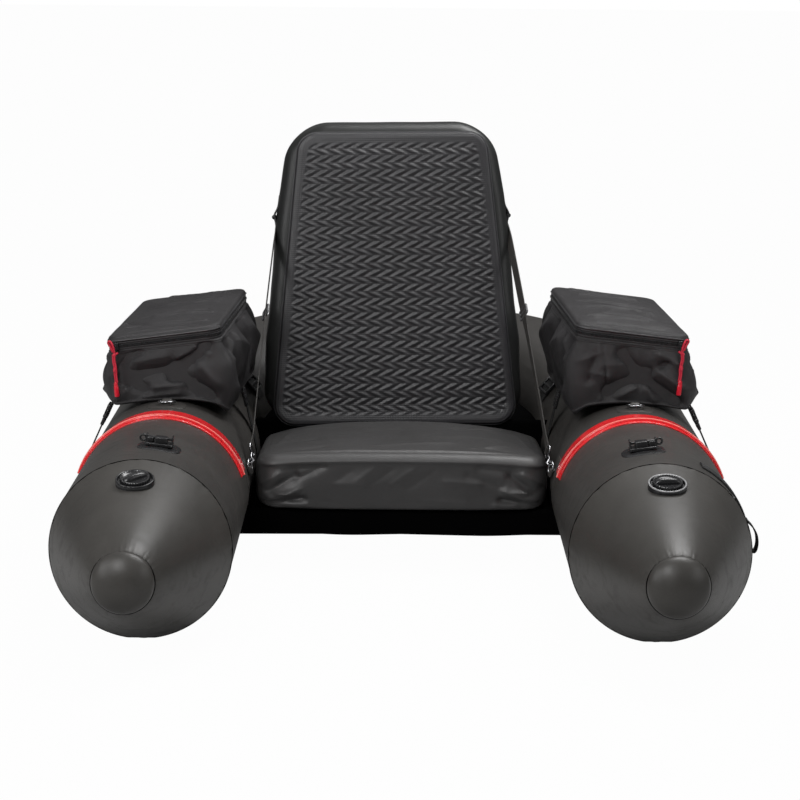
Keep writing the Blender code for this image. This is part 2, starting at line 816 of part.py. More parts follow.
def backrest():
    """The inflated slab with its hinge roll, and the moulded pad on its front."""
    half = backrest_thickness / 2
    middle = Vector((0, pad_thickness + touch_gap + half, 0))
    outline = tapered_outline(backrest_foot_gap, backrest_height, 0.0, backrest_corner)
    body = to_mesh(plate("backrest_body", outline, half, backrest_edge_round, back_fabric, 3,
                         backrest_frame, Matrix.Translation(middle)))
    sideways = Matrix.Rotation(math.radians(90), 4, "Y")
    fuse(body, cylinder("backrest_hinge_roll", hinge_roll_radius, hinge_roll_length,
                        back_fabric, 16, turn=sideways, parent=backrest_frame))
    reach = pad_thickness + backrest_edge_round
    size = (hinge_roll_length - hinge_web, reach, hinge_web)
    middle = (0, reach / 2, hinge_web / 2 - hinge_roll_radius / 4)
    fuse(body, block("backrest_hinge_web", size, back_fabric, middle, parent=backrest_frame))
    outline = tapered_outline(pad_foot, backrest_height - pad_top_inset, pad_inset, pad_corner)
    middle = Vector((0, pad_thickness / 2, 0))
    to_mesh(plate("backrest_pad", outline, pad_thickness / 2, pad_edge_round, foam_pad, 2,
                  backrest_frame, Matrix.Translation(middle)))


def rear_deck():
    """The sheet behind the seat: up behind the cushion, a dip under the backrest, then rising."""
    front = cushion_back_y + touch_gap
    foot = cushion_floor_height
    crest = hinge_height - hinge_roll_radius - touch_gap
    end_y = hinge_y + deck_rear_reach
    end = hinge_height + deck_rear_rise
    dip_y = hinge_y + deck_dip_reach
    dip = hinge_height - deck_dip_depth
    t = deck_thickness
    outline = [(front, foot), (front, crest), (hinge_y + t, crest), (dip_y, dip), (end_y, end),
               (end_y, end - t), (dip_y, dip - t), (front + t, crest - t), (front + t, foot)]
    deck = profile_prism("rear_deck", outline, axis_half_spacing, sheet_fabric)
    for cutter in hull_cutters.values():
        cut(deck, cutter)


seat_sheet()
seat_cushion()
backrest()
rear_deck()


# Each bag stands in its own frame, on the pontoon's shoulder
bag_frames = {}
for side in (-1, 1):
    rear_y = bag_middle_y + bag_length / 2 + bag_rear_margin
    climb = stern_lift(rear_y)
    seat = on_tube(side, bag_middle_y, bag_lean, touch_gap)
    holder = bpy.data.objects.new(side_name(side) + "_bag_frame", None)
    parts.objects.link(holder)
    holder.rotation_euler = (math.atan2(climb, bag_length), math.radians(side * bag_lean),
                             math.radians(side * bag_toe))
    inboard = Vector((-side * bag_inboard, 0, 0))
    inboard.rotate(holder.rotation_euler)
    holder.location = seat + Vector((0, 0, climb / 2)) + inboard
    bag_frames[side] = holder
bpy.context.view_layer.update()


def bag_ring(inset, height, shrink=1.0):
    """Round-cornered ring whose front half mirrors its back half, at one height."""
    half_w = bag_width / 2 - inset
    half_l = bag_length / 2 - inset
    corner = max(bag_corner - inset, bag_wall)
    front = []
    for i in range(5):
        turn = math.radians(90) * i / 4
        front.append((-half_w + corner * (1 - math.cos(turn)),
                      -half_l + corner * (1 - math.sin(turn))))
    for share in (0.25, 0.5, 0.75):
        front.append((-half_w + corner + 2 * (half_w - corner) * share, -half_l))
    front += [(-x, y) for x, y in reversed(front[:5])]
    ring = front + [(x, -y) for x, y in reversed(front)]
    return [(x * shrink, y * shrink, height(x * shrink)) for x, y in ring]


def open_shell(name, rings, cap_first, material, parent, thickness):
    """A skin through the rings, closed across one end, then given its wall inwards."""
    builder = bmesh.new()
    rows = [[builder.verts.new(point) for point in ring] for ring in rings]
    count = len(rows[0])
    for near, far in zip(rows, rows[1:]):
        for i in range(count):
            j = (i + 1) % count
            builder.faces.new((near[i], near[j], far[j], far[i]))
    end = rows[0] if cap_first else rows[-1]
    for i in range(count // 2 - 1):
        builder.faces.new((end[i], end[i + 1], end[count - 2 - i], end[count - 1 - i]))
    bmesh.ops.recalc_face_normals(builder, faces=builder.faces)
    data = finish_mesh(builder, name, 40)
    inside_out = sum((face.center - Vector((0, 0, bag_seam_height))).dot(face.normal)
                     for face in data.polygons) < 0
    if inside_out:
        data.flip_normals()
    piece = show(name, data, material, parent)
    wall = piece.modifiers.new("wall", "SOLIDIFY")
    wall.thickness = thickness
    wall.offset = -1.0
    wall.use_even_offset = True
    return piece


def saddle(side, x):
    """Height of the bag's floor, which drops over the round tube to both sides of its touch."""
    reach = max(abs(x - side * bag_inboard) - bag_saddle_flat, 0.0)
    return -bag_saddle_share * reach * reach / (2 * tube_radius)


def set_origin(piece, place):
    """Move a piece's origin to a place in its parent's frame, with its shape where it was."""
    piece.data.transform(Matrix.Translation(-Vector(place)))
    piece.location = place


def bag(side):
    """Bag body with a zip-height rim, and the lid that hinges on its outer long edge."""
    name = side_name(side)
    holder = bag_frames[side]
    rings = []
    for share in (0.0, 0.06, 0.3, 0.55, 0.8, 1.0):
        inset = -bag_bulge * math.sin(math.pi * share) + bag_wall * (share == 0.0)
        rings.append(bag_ring(inset, lambda x, s=share: saddle(side, x) * (1 - s)
                              + bag_seam_height * s))
    open_shell(name + "_bag_body", rings, True, bag_fabric, holder, bag_wall)
    seam = bag_seam_height + touch_gap
    shoulder = bag_height - lid_shoulder
    rings = [bag_ring(0.0, lambda x: seam), bag_ring(0.0, lambda x: shoulder),
             bag_ring(lid_shoulder * 0.3, lambda x: bag_height - lid_shoulder * 0.3),
             bag_ring(lid_shoulder, lambda x: bag_height)]
    for shrink in (0.75, 0.45):
        rise = lid_crown * (1 - shrink)
        rings.append(bag_ring(lid_shoulder, lambda x, r=rise: bag_height + r, shrink))
    lid = open_shell(name + "_bag_lid", rings, False, bag_fabric, holder, bag_wall)
    set_origin(lid, (side * bag_width / 2, 0, seam))


def zip_pull(side):
    """Slider on the zip, the red cord that hangs from its eye, and the moulded end."""
    name = side_name(side)
    holder = bag_frames[side]
    wide, deep, tall = slider_size
    x = side * (bag_width / 2 - slider_from_corner)
    face = -bag_length / 2
    middle = Vector((x, face - slider_stand_off - deep / 2, bag_seam_height + touch_gap / 2))
    slider = block(name + "_zip_slider", slider_size, grey_plastic, edge_round=1.0 * mm,
                   parent=holder, matrix=Matrix.Translation(middle))
    tongue = (wide / 2, deep / 2, slider_eye_drop * 2)
    fuse(slider, block(name + "_slider_eye", tongue, grey_plastic, (0, -deep / 2, -tall / 2),
                       parent=holder, matrix=Matrix.Translation(middle)))
    drop = tall / 2 + slider_eye_drop + touch_gap
    top = middle - Vector((0, deep / 2, drop))
    route = [top + mm * Vector((side * across, ahead, down)) for across, ahead, down in pull_route]
    places = smooth_route(route, pull_cord_steps)
    rod(name + "_zip_cord", places, pull_cord_radius, red_cord, 2, parent=holder)
    last = places[-1]
    r = pull_end_radius
    turned(name + "_zip_cord_end", [
        (0.0, -touch_gap), (r * 0.6, -touch_gap), (r * 0.75, -r), (r, -r * 2),
        (r * 1.05, -pull_end_length + r), (r * 0.7, -pull_end_length), (0.0, -pull_end_length)],
        12, red_plastic, parent=holder, matrix=Matrix.Translation(last))


for side in (-1, 1):
    bag(side)
    zip_pull(side)


def ribbon(name, places, across, width, thickness, material):
    """Flat webbing along the places, its width along one direction or along one for each place."""
    rings = []
    for i, place in enumerate(places):
        before = places[max(i - 1, 0)]
        after = places[min(i + 1, len(places) - 1)]
        along = (after - before).normalized()
        sideways = across[i] if isinstance(across, list) else across
        wide = (sideways - along * sideways.dot(along)).normalized() * width / 2
        thick = along.cross(wide).normalized() * thickness / 2
        rings.append([place - wide - thick, place + wide - thick, place + wide + thick,
                      place - wide + thick])
    return loft(name, rings, material)


def along_y():
    """The fore-and-aft direction, across which webbing lies on the tube."""
    return Vector((0, 1, 0))


def outer_buckle(side):
    """Side-release buckle between the bag's outer lower corner and the webbing on the tube."""
    name = side_name(side)
    holder = bag_frames[side].matrix_world
    local = Vector((side * (bag_width / 2 + buckle_stand_off),
                    -bag_length / 2 + buckle_from_bag_front, buckle_height_on_bag))
    start = holder @ local
    y = start.y
    touch = on_tube(side, y, outer_strap_touch_angle, outer_strap_lift)
    down = (touch - start).normalized()
    matrix = frame_at(start, -down, along_y())
    w, t, wall = buckle_width, buckle_thickness, buckle_wall
    top = -socket_tab_length
    tab_overlap = wall
    socket = block(name + "_outer_buckle_socket", (w, t, socket_length), black_plastic,
                   (0, 0, top - socket_length / 2), 1.2 * mm, matrix=matrix)
    cavity = hide_away(block(name + "_buckle_cavity", (w - 2 * wall, t - 2 * wall, socket_length),
                             black_plastic, (0, 0, top - socket_length / 2 - wall),
                             matrix=matrix))
    cut(socket, cavity)
    window = hide_away(block(name + "_buckle_window", (w + overrun, t - 2 * wall, window_length),
                             black_plastic, (0, 0, top - socket_length / 2), matrix=matrix))
    cut(socket, window)
    tab = block(name + "_buckle_tab", (webbing_width, webbing_thickness,
                                       socket_tab_length + tab_overlap), webbing,
                (0, 0, (top - tab_overlap) / 2), matrix=matrix)
    fuse(socket, tab)
    mouth = top - socket_length - touch_gap
    plug = block(name + "_outer_buckle_plug", (w, t - wall, plug_length), black_plastic,
                 (0, 0, mouth - plug_length / 2), 1.0 * mm, matrix=matrix)
    slot = hide_away(block(name + "_plug_slot", (webbing_width + 2 * prong_gap, t, plug_slot),
                           black_plastic, (0, 0, mouth - plug_length + 2 * plug_slot),
                           matrix=matrix))
    reach = w / 2 - wall - prong_gap - prong_width / 2
    for sign in (-1, 1):
        middle = (sign * reach, 0, mouth + prong_length / 2 - wall)
        size = (prong_width, t - 2 * wall - 2 * prong_gap, prong_length + 2 * wall)
        fuse(plug, block(f"{name}_prong_{sign + 1}", size, black_plastic, middle, matrix=matrix))
    size = (prong_width, t - 2 * wall - 2 * prong_gap, tongue_length)
    middle = (0, 0, mouth + tongue_length / 2 - wall)
    fuse(plug, block(name + "_plug_tongue", size, black_plastic, middle, matrix=matrix))
    cut(plug, slot)
    tail = matrix @ Vector((0, 0, mouth - plug_length - touch_gap))
    over = outer_strap_lift
    places = [tail, touch]
    places += [on_tube(side, y, angle, over)
               for angle in wrap_angles(outer_strap_touch_angle, strake_edge_angles[1])[1:]]
    places += [on_tube(side, y, angle, touch_gap + webbing_thickness / 2)
               for angle in outer_strap_end_angles]
    ribbon(name + "_outer_strap", places, along_y(), webbing_width, webbing_thickness, webbing)


def ladder_lock(name, matrix):
    """A ladder-lock frame with two windows across the webbing."""
    size = (lock_width, lock_thickness, lock_length)
    lock = block(name, size, black_plastic, edge_round=1.5 * mm, matrix=matrix)
    window = (lock_slot_width, lock_thickness + overrun, lock_length / 2 - lock_bar)
    for sign in (-1, 1):
        middle = (0, 0, sign * lock_length / 4)
        hole = block(f"{name}_window_{sign + 1}", window, black_plastic, middle, matrix=matrix)
        cut(lock, hide_away(hole))
    return lock


def inner_front_strap(side):
    """Webbing from the bag's inner lower edge to the inner flank, through its ladder-lock."""
    name = side_name(side) + "_inner_front"
    holder = bag_frames[side].matrix_world
    y = arc_start_y - inner_front_before_bend
    inner_x = -side * (bag_width / 2 + bag_wall + touch_gap)
    start = holder @ Vector((inner_x, y - bag_middle_y, inner_strap_height_on_bag))
    lift = touch_gap + webbing_thickness / 2
    touch_angle = inner_front_end_angle + inner_touch_before_end
    landing = on_tube(side, y, touch_angle, lift)
    places = [start, start.lerp(landing, 0.5) + Vector((-side * lift, 0, lift))]
    places += [on_tube(side, y, angle, lift)
               for angle in wrap_angles(touch_angle, inner_front_end_angle)]
    ribbon(name + "_strap", places, along_y(), webbing_width, webbing_thickness, webbing)
    down = (places[1] - places[0]).normalized()
    matrix = frame_at(places[0].lerp(places[1], 0.55), -down, along_y())
    lock = ladder_lock(name + "_buckle", matrix)
    slot_size = (lock_slot_width, webbing_thickness + 4 * touch_gap, lock_length + overrun)
    cut(lock, hide_away(block(name + "_slot", slot_size, black_plastic, matrix=matrix)))


def inner_rear_strap(side):
    """Webbing round the inner flank behind the bag, with its ladder-lock in one piece."""
    name = side_name(side) + "_inner_rear"
    y = arc_start_y + inner_rear_past_bend
    lift = inner_rear_gap + webbing_thickness / 2
    places = [on_tube(side, y, angle, lift)
              for angle in wrap_angles(*inner_rear_angles)]
    centre, outward, up = hull_section(side, y)
    along = outward.cross(up)
    strap = ribbon(name + "_strap", places, along, webbing_width, webbing_thickness, webbing)
    spot = on_tube(side, y, inner_rear_lock_angle, inner_rear_gap + lock_thickness / 2)
    away = (spot - centre).normalized()
    fuse(strap, ladder_lock(name + "_lock", frame_at(spot, away.cross(along), along)))


for side in (-1, 1):
    outer_buckle(side)
    inner_front_strap(side)
    inner_rear_strap(side)


def ring_points():
    """A D shape in local X and Z: straight bar at the foot, round top."""
    arc_height = ring_depth - ring_half_width
    points = [Vector((-ring_half_width, 0, 0)), Vector((ring_half_width, 0, 0))]
    for i in range(11):
        turn = math.pi * i / 10
        points.append(Vector((ring_half_width * math.cos(turn), 0,
                              arc_height + ring_half_width * math.sin(turn))))
    return points


def ring_and_patch(name, patch_name, side, y, angle, patch_size, matrix):
    """A steel D-ring whose bar turns in the keeper of a patch on the tube."""
    rod(name, ring_points(), ring_wire, steel, 2, closed=True, matrix=matrix)
    patch = tube_patch(patch_name, side, y, angle, patch_size, ring_patch_thickness, hull_fabric)
    sideways = Matrix.Rotation(math.radians(90), 4, "Y")
    keeper = cylinder(patch_name + "_keeper", ring_keeper_radius, ring_keeper_length,
                      hull_fabric, 16, turn=sideways, matrix=matrix)
    fuse(patch, keeper)
    bore = cylinder(patch_name + "_bore", ring_wire + ring_bore_gap,
                    ring_keeper_length + 2 * overrun, hull_fabric, 16, turn=sideways,
                    matrix=matrix)
    cut(patch, hide_away(bore))


def tow_ring(side):
    """The ring on top of the tube, which lies forward in front of the bag."""
    y = tow_ring_y
    origin = on_tube(side, y, 0, ring_bar_lift)
    matrix = frame_at(origin, Vector((0, -1, 0.12)), Vector((1, 0, 0)))
    name = side_name(side)
    ring_and_patch(name + "_tow_ring", name + "_tow_ring_patch", side, y, 0, tow_ring_patch,
                   matrix)


def strap_seat(side):
    """Start and end of the strap's seat on the backrest's side, and its width direction."""
    side_gap = strap_seat_gap + strap_thickness / 2
    places = []
    for share in (-0.5, 0.5):
        rise = strap_anchor_length * share / math.sqrt(2)
        height = strap_anchor_height + rise
        middle_y = pad_thickness + touch_gap + backrest_thickness / 2
        place = Vector((side * (backrest_side(height) + side_gap), middle_y + rise, height))
        places.append(backrest_matrix @ place)
    reach = strap_anchor_length / 2
    taper = backrest_side(strap_anchor_height - reach) - backrest_side(strap_anchor_height + reach)
    outward = Vector((side, 0, taper / strap_anchor_length))
    outward.rotate(backrest_matrix.to_quaternion())
    across = (places[1] - places[0]).cross(-outward).normalized()
    return places[0], places[1], across


def hook_bend(centre_height):
    """The open bend of the hook, in local Y and Z, round the ring's top."""
    places = []
    for i in range(8):
        turn = math.radians(20 + 200 * (1 - i / 7) - 220)
        places.append(Vector((0, hook_bend_radius * math.cos(turn),
                              centre_height + hook_bend_radius * math.sin(turn))))
    return places


def back_strap(side):
    """Hook, webbing and slider between the tube's flank ring and the backrest."""
    name = side_name(side)
    y = band_back_y + hook_ring_behind_band
    low = on_tube(side, y, hook_ring_angle, hook_ring_lift)
    high, end, seat_across = strap_seat(side)
    pull = (high - low).normalized()
    across = pull.cross(low - hull_section(side, y)[0]).normalized()
    matrix = frame_at(low, pull, across)
    ring_and_patch(name + "_hook_ring", name + "_hook_ring_patch", side, y, hook_ring_angle,
                   hook_ring_patch, matrix)
    ring_top = ring_depth
    centre = ring_top - ring_wire - hook_wire - ring_bore_gap + hook_bend_radius
    bend = hook_bend(centre)
    shank_top = centre + hook_bend_radius + hook_shank
    places = bend + [Vector((0, bend[-1].y * 0.35, centre + hook_bend_radius)),
                     Vector((0, 0, centre + 1.7 * hook_bend_radius)), Vector((0, 0, shank_top))]
    hook = to_mesh(rod(name + "_strap_hook", places, hook_wire, steel, 2, matrix=matrix))
    half = hook_eye_half_width
    eye = [Vector((-half, 0, shank_top)), Vector((half, 0, shank_top)),
           Vector((half, 0, shank_top + hook_eye_height)),
           Vector((-half, 0, shank_top + hook_eye_height))]
    fuse(hook, to_mesh(rod(name + "_hook_eye", eye, hook_wire, steel, 2, closed=True,
                           matrix=matrix)))
    bar = shank_top + hook_eye_height
    start = matrix @ Vector((0, 0, bar + hook_wire + ring_bore_gap))
    upright = pull.cross(Vector((-side, 0, 0))).normalized()
    places = [start, start.lerp(high, twist_share), high.lerp(start, twist_share), high, end]
    strap = ribbon(name + "_back_strap", places,
                   [across, upright, upright, seat_across, seat_across], strap_width,
                   strap_thickness, webbing)
    sideways = Matrix.Rotation(math.radians(90), 4, "Y")
    loop = cylinder(name + "_strap_loop", strap_loop_radius, strap_width, webbing, 16,
                    (0, 0, bar), sideways, matrix=matrix)
    fuse(strap, loop)
    bore = cylinder(name + "_loop_bore", hook_wire + ring_bore_gap, strap_width + overrun,
                    webbing, 16, (0, 0, bar), sideways, matrix=matrix)
    cut(strap, hide_away(bore))
    spot = frame_at(start.lerp(high, slider_place_share), high - start, upright)
    wide, deep, tall = strap_slider_size
    slider = block(name + "_strap_slider", strap_slider_size, grey_plastic,
                   edge_round=1.2 * mm, matrix=spot)
    slot = (strap_width + 2 * strap_slider_gap, strap_thickness + 2 * strap_slider_gap,
            tall + overrun)
    cut(slider, hide_away(block(name + "_slider_slot", slot, grey_plastic, matrix=spot)))
    for sign in (-1, 1):
        window = (strap_width + 2 * strap_slider_gap, deep + overrun, strap_slider_window)
        middle = (0, 0, sign * tall / 4)
        hole = block(f"{name}_slider_window_{sign + 1}", window, grey_plastic, middle,
                     matrix=spot)
        cut(slider, hide_away(hole))


def top_clip(side):
    """Accessory clip on its round patch: base, middle block, two ears and a cross bar."""
    name = side_name(side)
    y = seam_y + clip_from_seam
    clip = tube_patch(name + "_top_clip", side, y, clip_angle, clip_patch,
                      clip_patch_thickness, black_plastic)
    seat = on_tube(side, y, clip_angle, clip_patch_thickness)
    matrix = frame_at(seat, seat - hull_section(side, y)[0], Vector((1, 0, 0)))
    wide, deep, tall = clip_base
    fuse(clip, block(name + "_clip_base", clip_base, black_plastic, (0, 0, tall / 2),
                     clip_round, matrix=matrix))
    fuse(clip, block(name + "_clip_block", clip_block, black_plastic,
                     (0, 0, (tall + clip_block[2]) / 2), clip_round, matrix=matrix))
    for sign in (-1, 1):
        middle = (sign * (wide - clip_ear[0] - clip_round) / 2, 0, (tall + clip_ear[2]) / 2)
        fuse(clip, block(f"{name}_clip_ear_{sign + 1}", clip_ear, black_plastic, middle,
                         clip_round, matrix=matrix))
    sideways = Matrix.Rotation(math.radians(90), 4, "Y")
    fuse(clip, cylinder(name + "_clip_bar", clip_bar_radius, wide - clip_ear[0], black_plastic,
                        12, (0, 0, clip_ear[2] - clip_bar_radius), sideways, matrix=matrix))


def flank_strap():
    """Webbing on the right pontoon's shoulder, and the hand loop on a roll at its end."""
    side = 1
    front = seam_y + flank_from_seam
    back = front + flank_width
    low, high = touch_gap, touch_gap + webbing_thickness
    profile = [(front, low), (front, high), (back, high), (back, low)]
    wrapped("right_flank_strap", side, profile, *flank_angles, webbing)
    root = on_tube(side, (front + back) / 2, loop_root_angle, loop_roll_radius + 2 * touch_gap)
    places = [root + Vector((out * mm, 0, -down * mm)) for out, down in hand_loop_route]
    loop = ribbon("right_hand_loop", places, along_y(), loop_webbing_width, loop_thickness,
                  webbing)
    aft = Matrix.Rotation(math.radians(90), 4, "X")
    fuse(loop, cylinder("hand_loop_roll", loop_roll_radius, loop_webbing_width + loop_thickness,
                        webbing, 16, turn=aft, matrix=Matrix.Translation(root)))


for side in (-1, 1):
    tow_ring(side)
    back_strap(side)
    top_clip(side)
flank_strap()
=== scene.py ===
# %% [markdown]
# # A float tube in the studio
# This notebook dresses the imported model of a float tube: two air tubes with conical noses, a raised
# stern bend, a seat, a backrest and two gear bags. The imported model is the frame. Every new surface
# is worked out from the same sizes, so it lies exactly where its solid lies, and it rides on the
# same body when the object moves.

# %% Load the frame
import math

import bpy
import numpy as np
from mathutils import Euler, Matrix


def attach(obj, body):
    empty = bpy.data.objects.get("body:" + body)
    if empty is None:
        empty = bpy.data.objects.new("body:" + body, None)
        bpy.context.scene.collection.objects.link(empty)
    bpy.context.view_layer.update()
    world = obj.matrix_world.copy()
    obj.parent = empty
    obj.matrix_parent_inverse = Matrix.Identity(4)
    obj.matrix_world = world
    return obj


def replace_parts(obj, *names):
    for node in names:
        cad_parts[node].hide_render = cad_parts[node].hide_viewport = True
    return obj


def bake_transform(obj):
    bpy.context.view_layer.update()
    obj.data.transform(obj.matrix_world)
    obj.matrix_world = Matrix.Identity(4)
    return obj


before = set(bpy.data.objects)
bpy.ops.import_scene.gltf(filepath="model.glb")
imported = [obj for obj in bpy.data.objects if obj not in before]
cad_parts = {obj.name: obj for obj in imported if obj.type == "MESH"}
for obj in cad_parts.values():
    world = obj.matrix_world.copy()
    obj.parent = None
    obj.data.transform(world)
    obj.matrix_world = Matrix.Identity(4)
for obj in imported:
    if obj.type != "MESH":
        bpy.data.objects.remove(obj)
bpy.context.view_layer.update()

# %% [markdown]
# ## Camera
# The photograph looks at the open end from a little above the seat. Its lens is long, so the
# pontoons hardly converge. The place and the angles come from fitting a pinhole camera to the nose
# circles, the cone seams and the outline of the tube.

# %% Camera at the photograph's viewing angle
camera_place = (-0.0106, -4.5018, 1.12)
camera_pitch = 10.36
camera_yaw = -0.11
camera_roll = 0.5
focal_pixels = 2500
frame_pixels = 800

lens = bpy.data.cameras.new("studio_camera")
lens.sensor_fit = "HORIZONTAL"
lens.sensor_width = 36.0
lens.lens = focal_pixels / frame_pixels * lens.sensor_width
camera = bpy.data.objects.new("studio_camera", lens)
bpy.context.scene.collection.objects.link(camera)
turn = Euler((math.radians(90 - camera_pitch), 0, math.radians(camera_yaw))).to_matrix()
turn = turn @ Matrix.Rotation(math.radians(camera_roll), 3, "Z")
camera.matrix_world = Matrix.Translation(camera_place) @ turn.to_4x4()
bpy.context.scene.camera = camera
print("camera", camera_place, "lens", round(lens.lens, 1), "mm")

# %% [markdown]
# ## Grids of points
# Most pieces here are skins: rings of points, one after the other along the piece. Numpy works out
# all the points at once. This helper only turns the rings into a mesh: it joins neighbours with
# quads, closes both ends with a pole, looks which way round the faces go, and stores how far each
# point is round and along the piece, in metres, as its UV map. Weaves follow that map.

# %% Turn rings of points into a closed mesh
mm = 0.001


def unit(v):
    """Vectors divided by their own lengths."""
    return v / np.linalg.norm(v, axis=-1, keepdims=True)


def smooth_step(share):
    """3 s squared minus 2 s cubed: from 0 to 1 with level ends."""
    share = np.clip(share, 0.0, 1.0)
    return share * share * (3.0 - 2.0 * share)


def shell_arrays(rings, loop=False):
    """Points, quads, triangles and UVs of one closed skin. rings has shape (rows, columns, 3).
    With loop the last row joins the first, and otherwise a pole closes each end."""
    rings = np.asarray(rings, float)
    rows, cols = rings.shape[:2]
    index = np.arange(rows * cols).reshape(rows, cols)
    far = np.roll(index, -1, axis=0) if loop else index[1:]
    near = index if loop else index[:-1]
    quads = np.stack((near, np.roll(near, -1, 1), np.roll(far, -1, 1), far), -1).reshape(-1, 4)
    round_steps = np.linalg.norm(np.roll(rings, -1, 1) - rings, axis=2).mean(0)
    along_steps = np.linalg.norm(np.roll(rings, -1, 0) - rings, axis=2).mean(1)
    u = np.concatenate(([0.0], np.cumsum(round_steps)))
    v = np.concatenate(([0.0], np.cumsum(along_steps)))
    i, j = np.meshgrid(np.arange(len(near)), np.arange(cols), indexing="ij")
    uv = np.stack((np.stack((u[j], u[j + 1], u[j + 1], u[j]), -1),
                   np.stack((v[i], v[i], v[i + 1], v[i + 1]), -1)), -1).reshape(-1, 2)
    points = rings.reshape(-1, 3)
    tris = np.zeros((0, 3), int)
    if not loop:
        poles = np.stack((rings[0].mean(0), rings[-1].mean(0)))
        points = np.concatenate((points, poles))
        n = rows * cols
        first, last = index[0], index[-1]
        tris = np.concatenate((
            np.stack((np.full(cols, n), np.roll(first, -1), first), -1),
            np.stack((np.full(cols, n + 1), last, np.roll(last, -1)), -1)))
        flat = points[tris] @ np.array([[1.0, 0.0], [0.0, 1.0], [0.0, 0.0]])
        uv = np.concatenate((uv, flat.reshape(-1, 2)))
    a, b, c, d = (points[quads[:, k]] for k in range(4))
    volume = np.einsum("ij,ij->", a, np.cross(b, c)) + np.einsum("ij,ij->", a, np.cross(c, d))
    if len(tris):
        p, q, r = (points[tris[:, k]] for k in range(3))
        volume += np.einsum("ij,ij->", p, np.cross(q, r))
    if volume < 0:
        quads = quads[:, ::-1]
        tris = tris[:, ::-1]
        n_quads = len(quads) * 4
        uv = np.concatenate((uv[:n_quads].reshape(-1, 4, 2)[:, ::-1].reshape(-1, 2),
                             uv[n_quads:].reshape(-1, 3, 2)[:, ::-1].reshape(-1, 2)))
    return points, quads, tris, uv


box = np.array([[(0, 0, z), (1, 0, z), (1, 1, z), (0, 1, z)] for z in (0, 1)])
counts = [len(part) for part in shell_arrays(box)[:3]]
print("a plain box as a skin:", counts, "points, quads and triangles")

# %% [markdown]
# One object can hold several skins, as a moulded part holds several lumps. The arrays of its skins
# are joined end to end, and foreach_set copies them into the mesh in one go. The finished piece is
# told which body of the model carries it.

# %% Make one object of several skins
def make_piece(name, shells, material, body="hull", sharp=40, loop=False):
    """One object from one or more skins. It sits at the origin and rides on a body."""
    points, corners, sizes, uvs, count = [], [], [], [], 0
    for rings in shells:
        p, quads, tris, uv = shell_arrays(rings, loop)
        corners += [(quads + count).ravel(), (tris + count).ravel()]
        sizes += [np.full(len(quads), 4), np.full(len(tris), 3)]
        points.append(p)
        uvs.append(uv)
        count += len(p)
    points, corners, sizes = (np.concatenate(x) for x in (points, corners, sizes))
    mesh = bpy.data.meshes.new(name)
    mesh.vertices.add(len(points))
    mesh.vertices.foreach_set("co", points.astype(np.float32).ravel())
    mesh.loops.add(len(corners))
    mesh.loops.foreach_set("vertex_index", corners.astype(np.int32))
    mesh.polygons.add(len(sizes))
    starts = np.concatenate(([0], np.cumsum(sizes)[:-1]))
    mesh.polygons.foreach_set("loop_start", starts.astype(np.int32))
    mesh.update(calc_edges=True)
    layer = mesh.uv_layers.new(name="UVMap")
    layer.data.foreach_set("uv", np.concatenate(uvs).astype(np.float32).ravel())
    mesh.shade_smooth()
    mesh.set_sharp_from_angle(angle=math.radians(sharp))
    mesh.materials.append(material)
    piece = bpy.data.objects.new(name, mesh)
    bpy.context.scene.collection.objects.link(piece)
    if body:
        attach(piece, body)
    return piece


# %% [markdown]
# ## Profiles and paths
# A strap, a wire or a bead is a small profile carried along a path. The path is a smooth curve
# through a few points. At each point the profile is turned square to the path, with its width kept
# as near as possible to a given direction, so that webbing doesn't twist unless it should.

# %% Carry a profile along a path
def even_steps(line, count, endpoint=True):
    """Places on a finely drawn line, at equal shares of its length."""
    reach = np.concatenate(([0], np.cumsum(np.linalg.norm(np.diff(line, axis=0), axis=1))))
    at = np.linspace(0, reach[-1], count, endpoint=endpoint)
    return np.stack([np.interp(at, reach, line[:, i]) for i in range(line.shape[1])], -1)


def flow(points, count):
    """A smooth curve through the points, in equal steps. Between two points it is a cubic, whose
    slope at each of them is half the step from the point before to the point after."""
    p = np.asarray(points, float)
    p = np.concatenate((2 * p[:1] - p[1:2], p, 2 * p[-1:] - p[-2:-1]))
    share = np.linspace(0, len(p) - 3, 40 * len(p))
    k = np.minimum(share.astype(int), len(p) - 4)
    t = (share - k)[:, None]
    a, b, c, d = p[k], p[k + 1], p[k + 2], p[k + 3]
    fine = 0.5 * (2 * b + (c - a) * t + (2 * a - 5 * b + 4 * c - d) * t ** 2
                  + (3 * b - a - 3 * c + d) * t ** 3)
    return even_steps(fine, count)


def closed_line(corners, count):
    """A closed flat line drawn by its corner points: places at equal steps of its girth, and the
    outward normals, square to the step from two places back to two places on."""
    points = even_steps(np.concatenate((corners, corners[:1])), count, endpoint=False)
    along = unit(np.roll(points, -2, 0) - np.roll(points, 2, 0))
    return points, np.stack((along[:, 1], -along[:, 0]), -1)


def sweep(path, across, profile, closed=False):
    """Rings of a profile of (width, height) pairs carried along the path. The width points along
    across, made square to the path, and the height along path x width."""
    path = np.asarray(path, float)
    if closed:
        along = unit(np.roll(path, -1, 0) - np.roll(path, 1, 0))
    else:
        along = unit(np.gradient(path, axis=0))
    across = np.broadcast_to(np.asarray(across, float), path.shape)
    wide = unit(across - along * np.sum(across * along, -1, keepdims=True))
    high = np.cross(along, wide)
    profile = np.asarray(profile, float)
    if profile.ndim == 2:
        profile = np.broadcast_to(profile, (len(path),) + profile.shape)
    return path[:, None] + wide[:, None] * profile[..., :1] + high[:, None] * profile[..., 1:2]


def round_profile(radius, sides=12):
    """A circle: radius times cosine and sine."""
    turn = np.linspace(0, 2 * np.pi, sides, endpoint=False)
    return radius * np.stack((np.cos(turn), np.sin(turn)), -1)


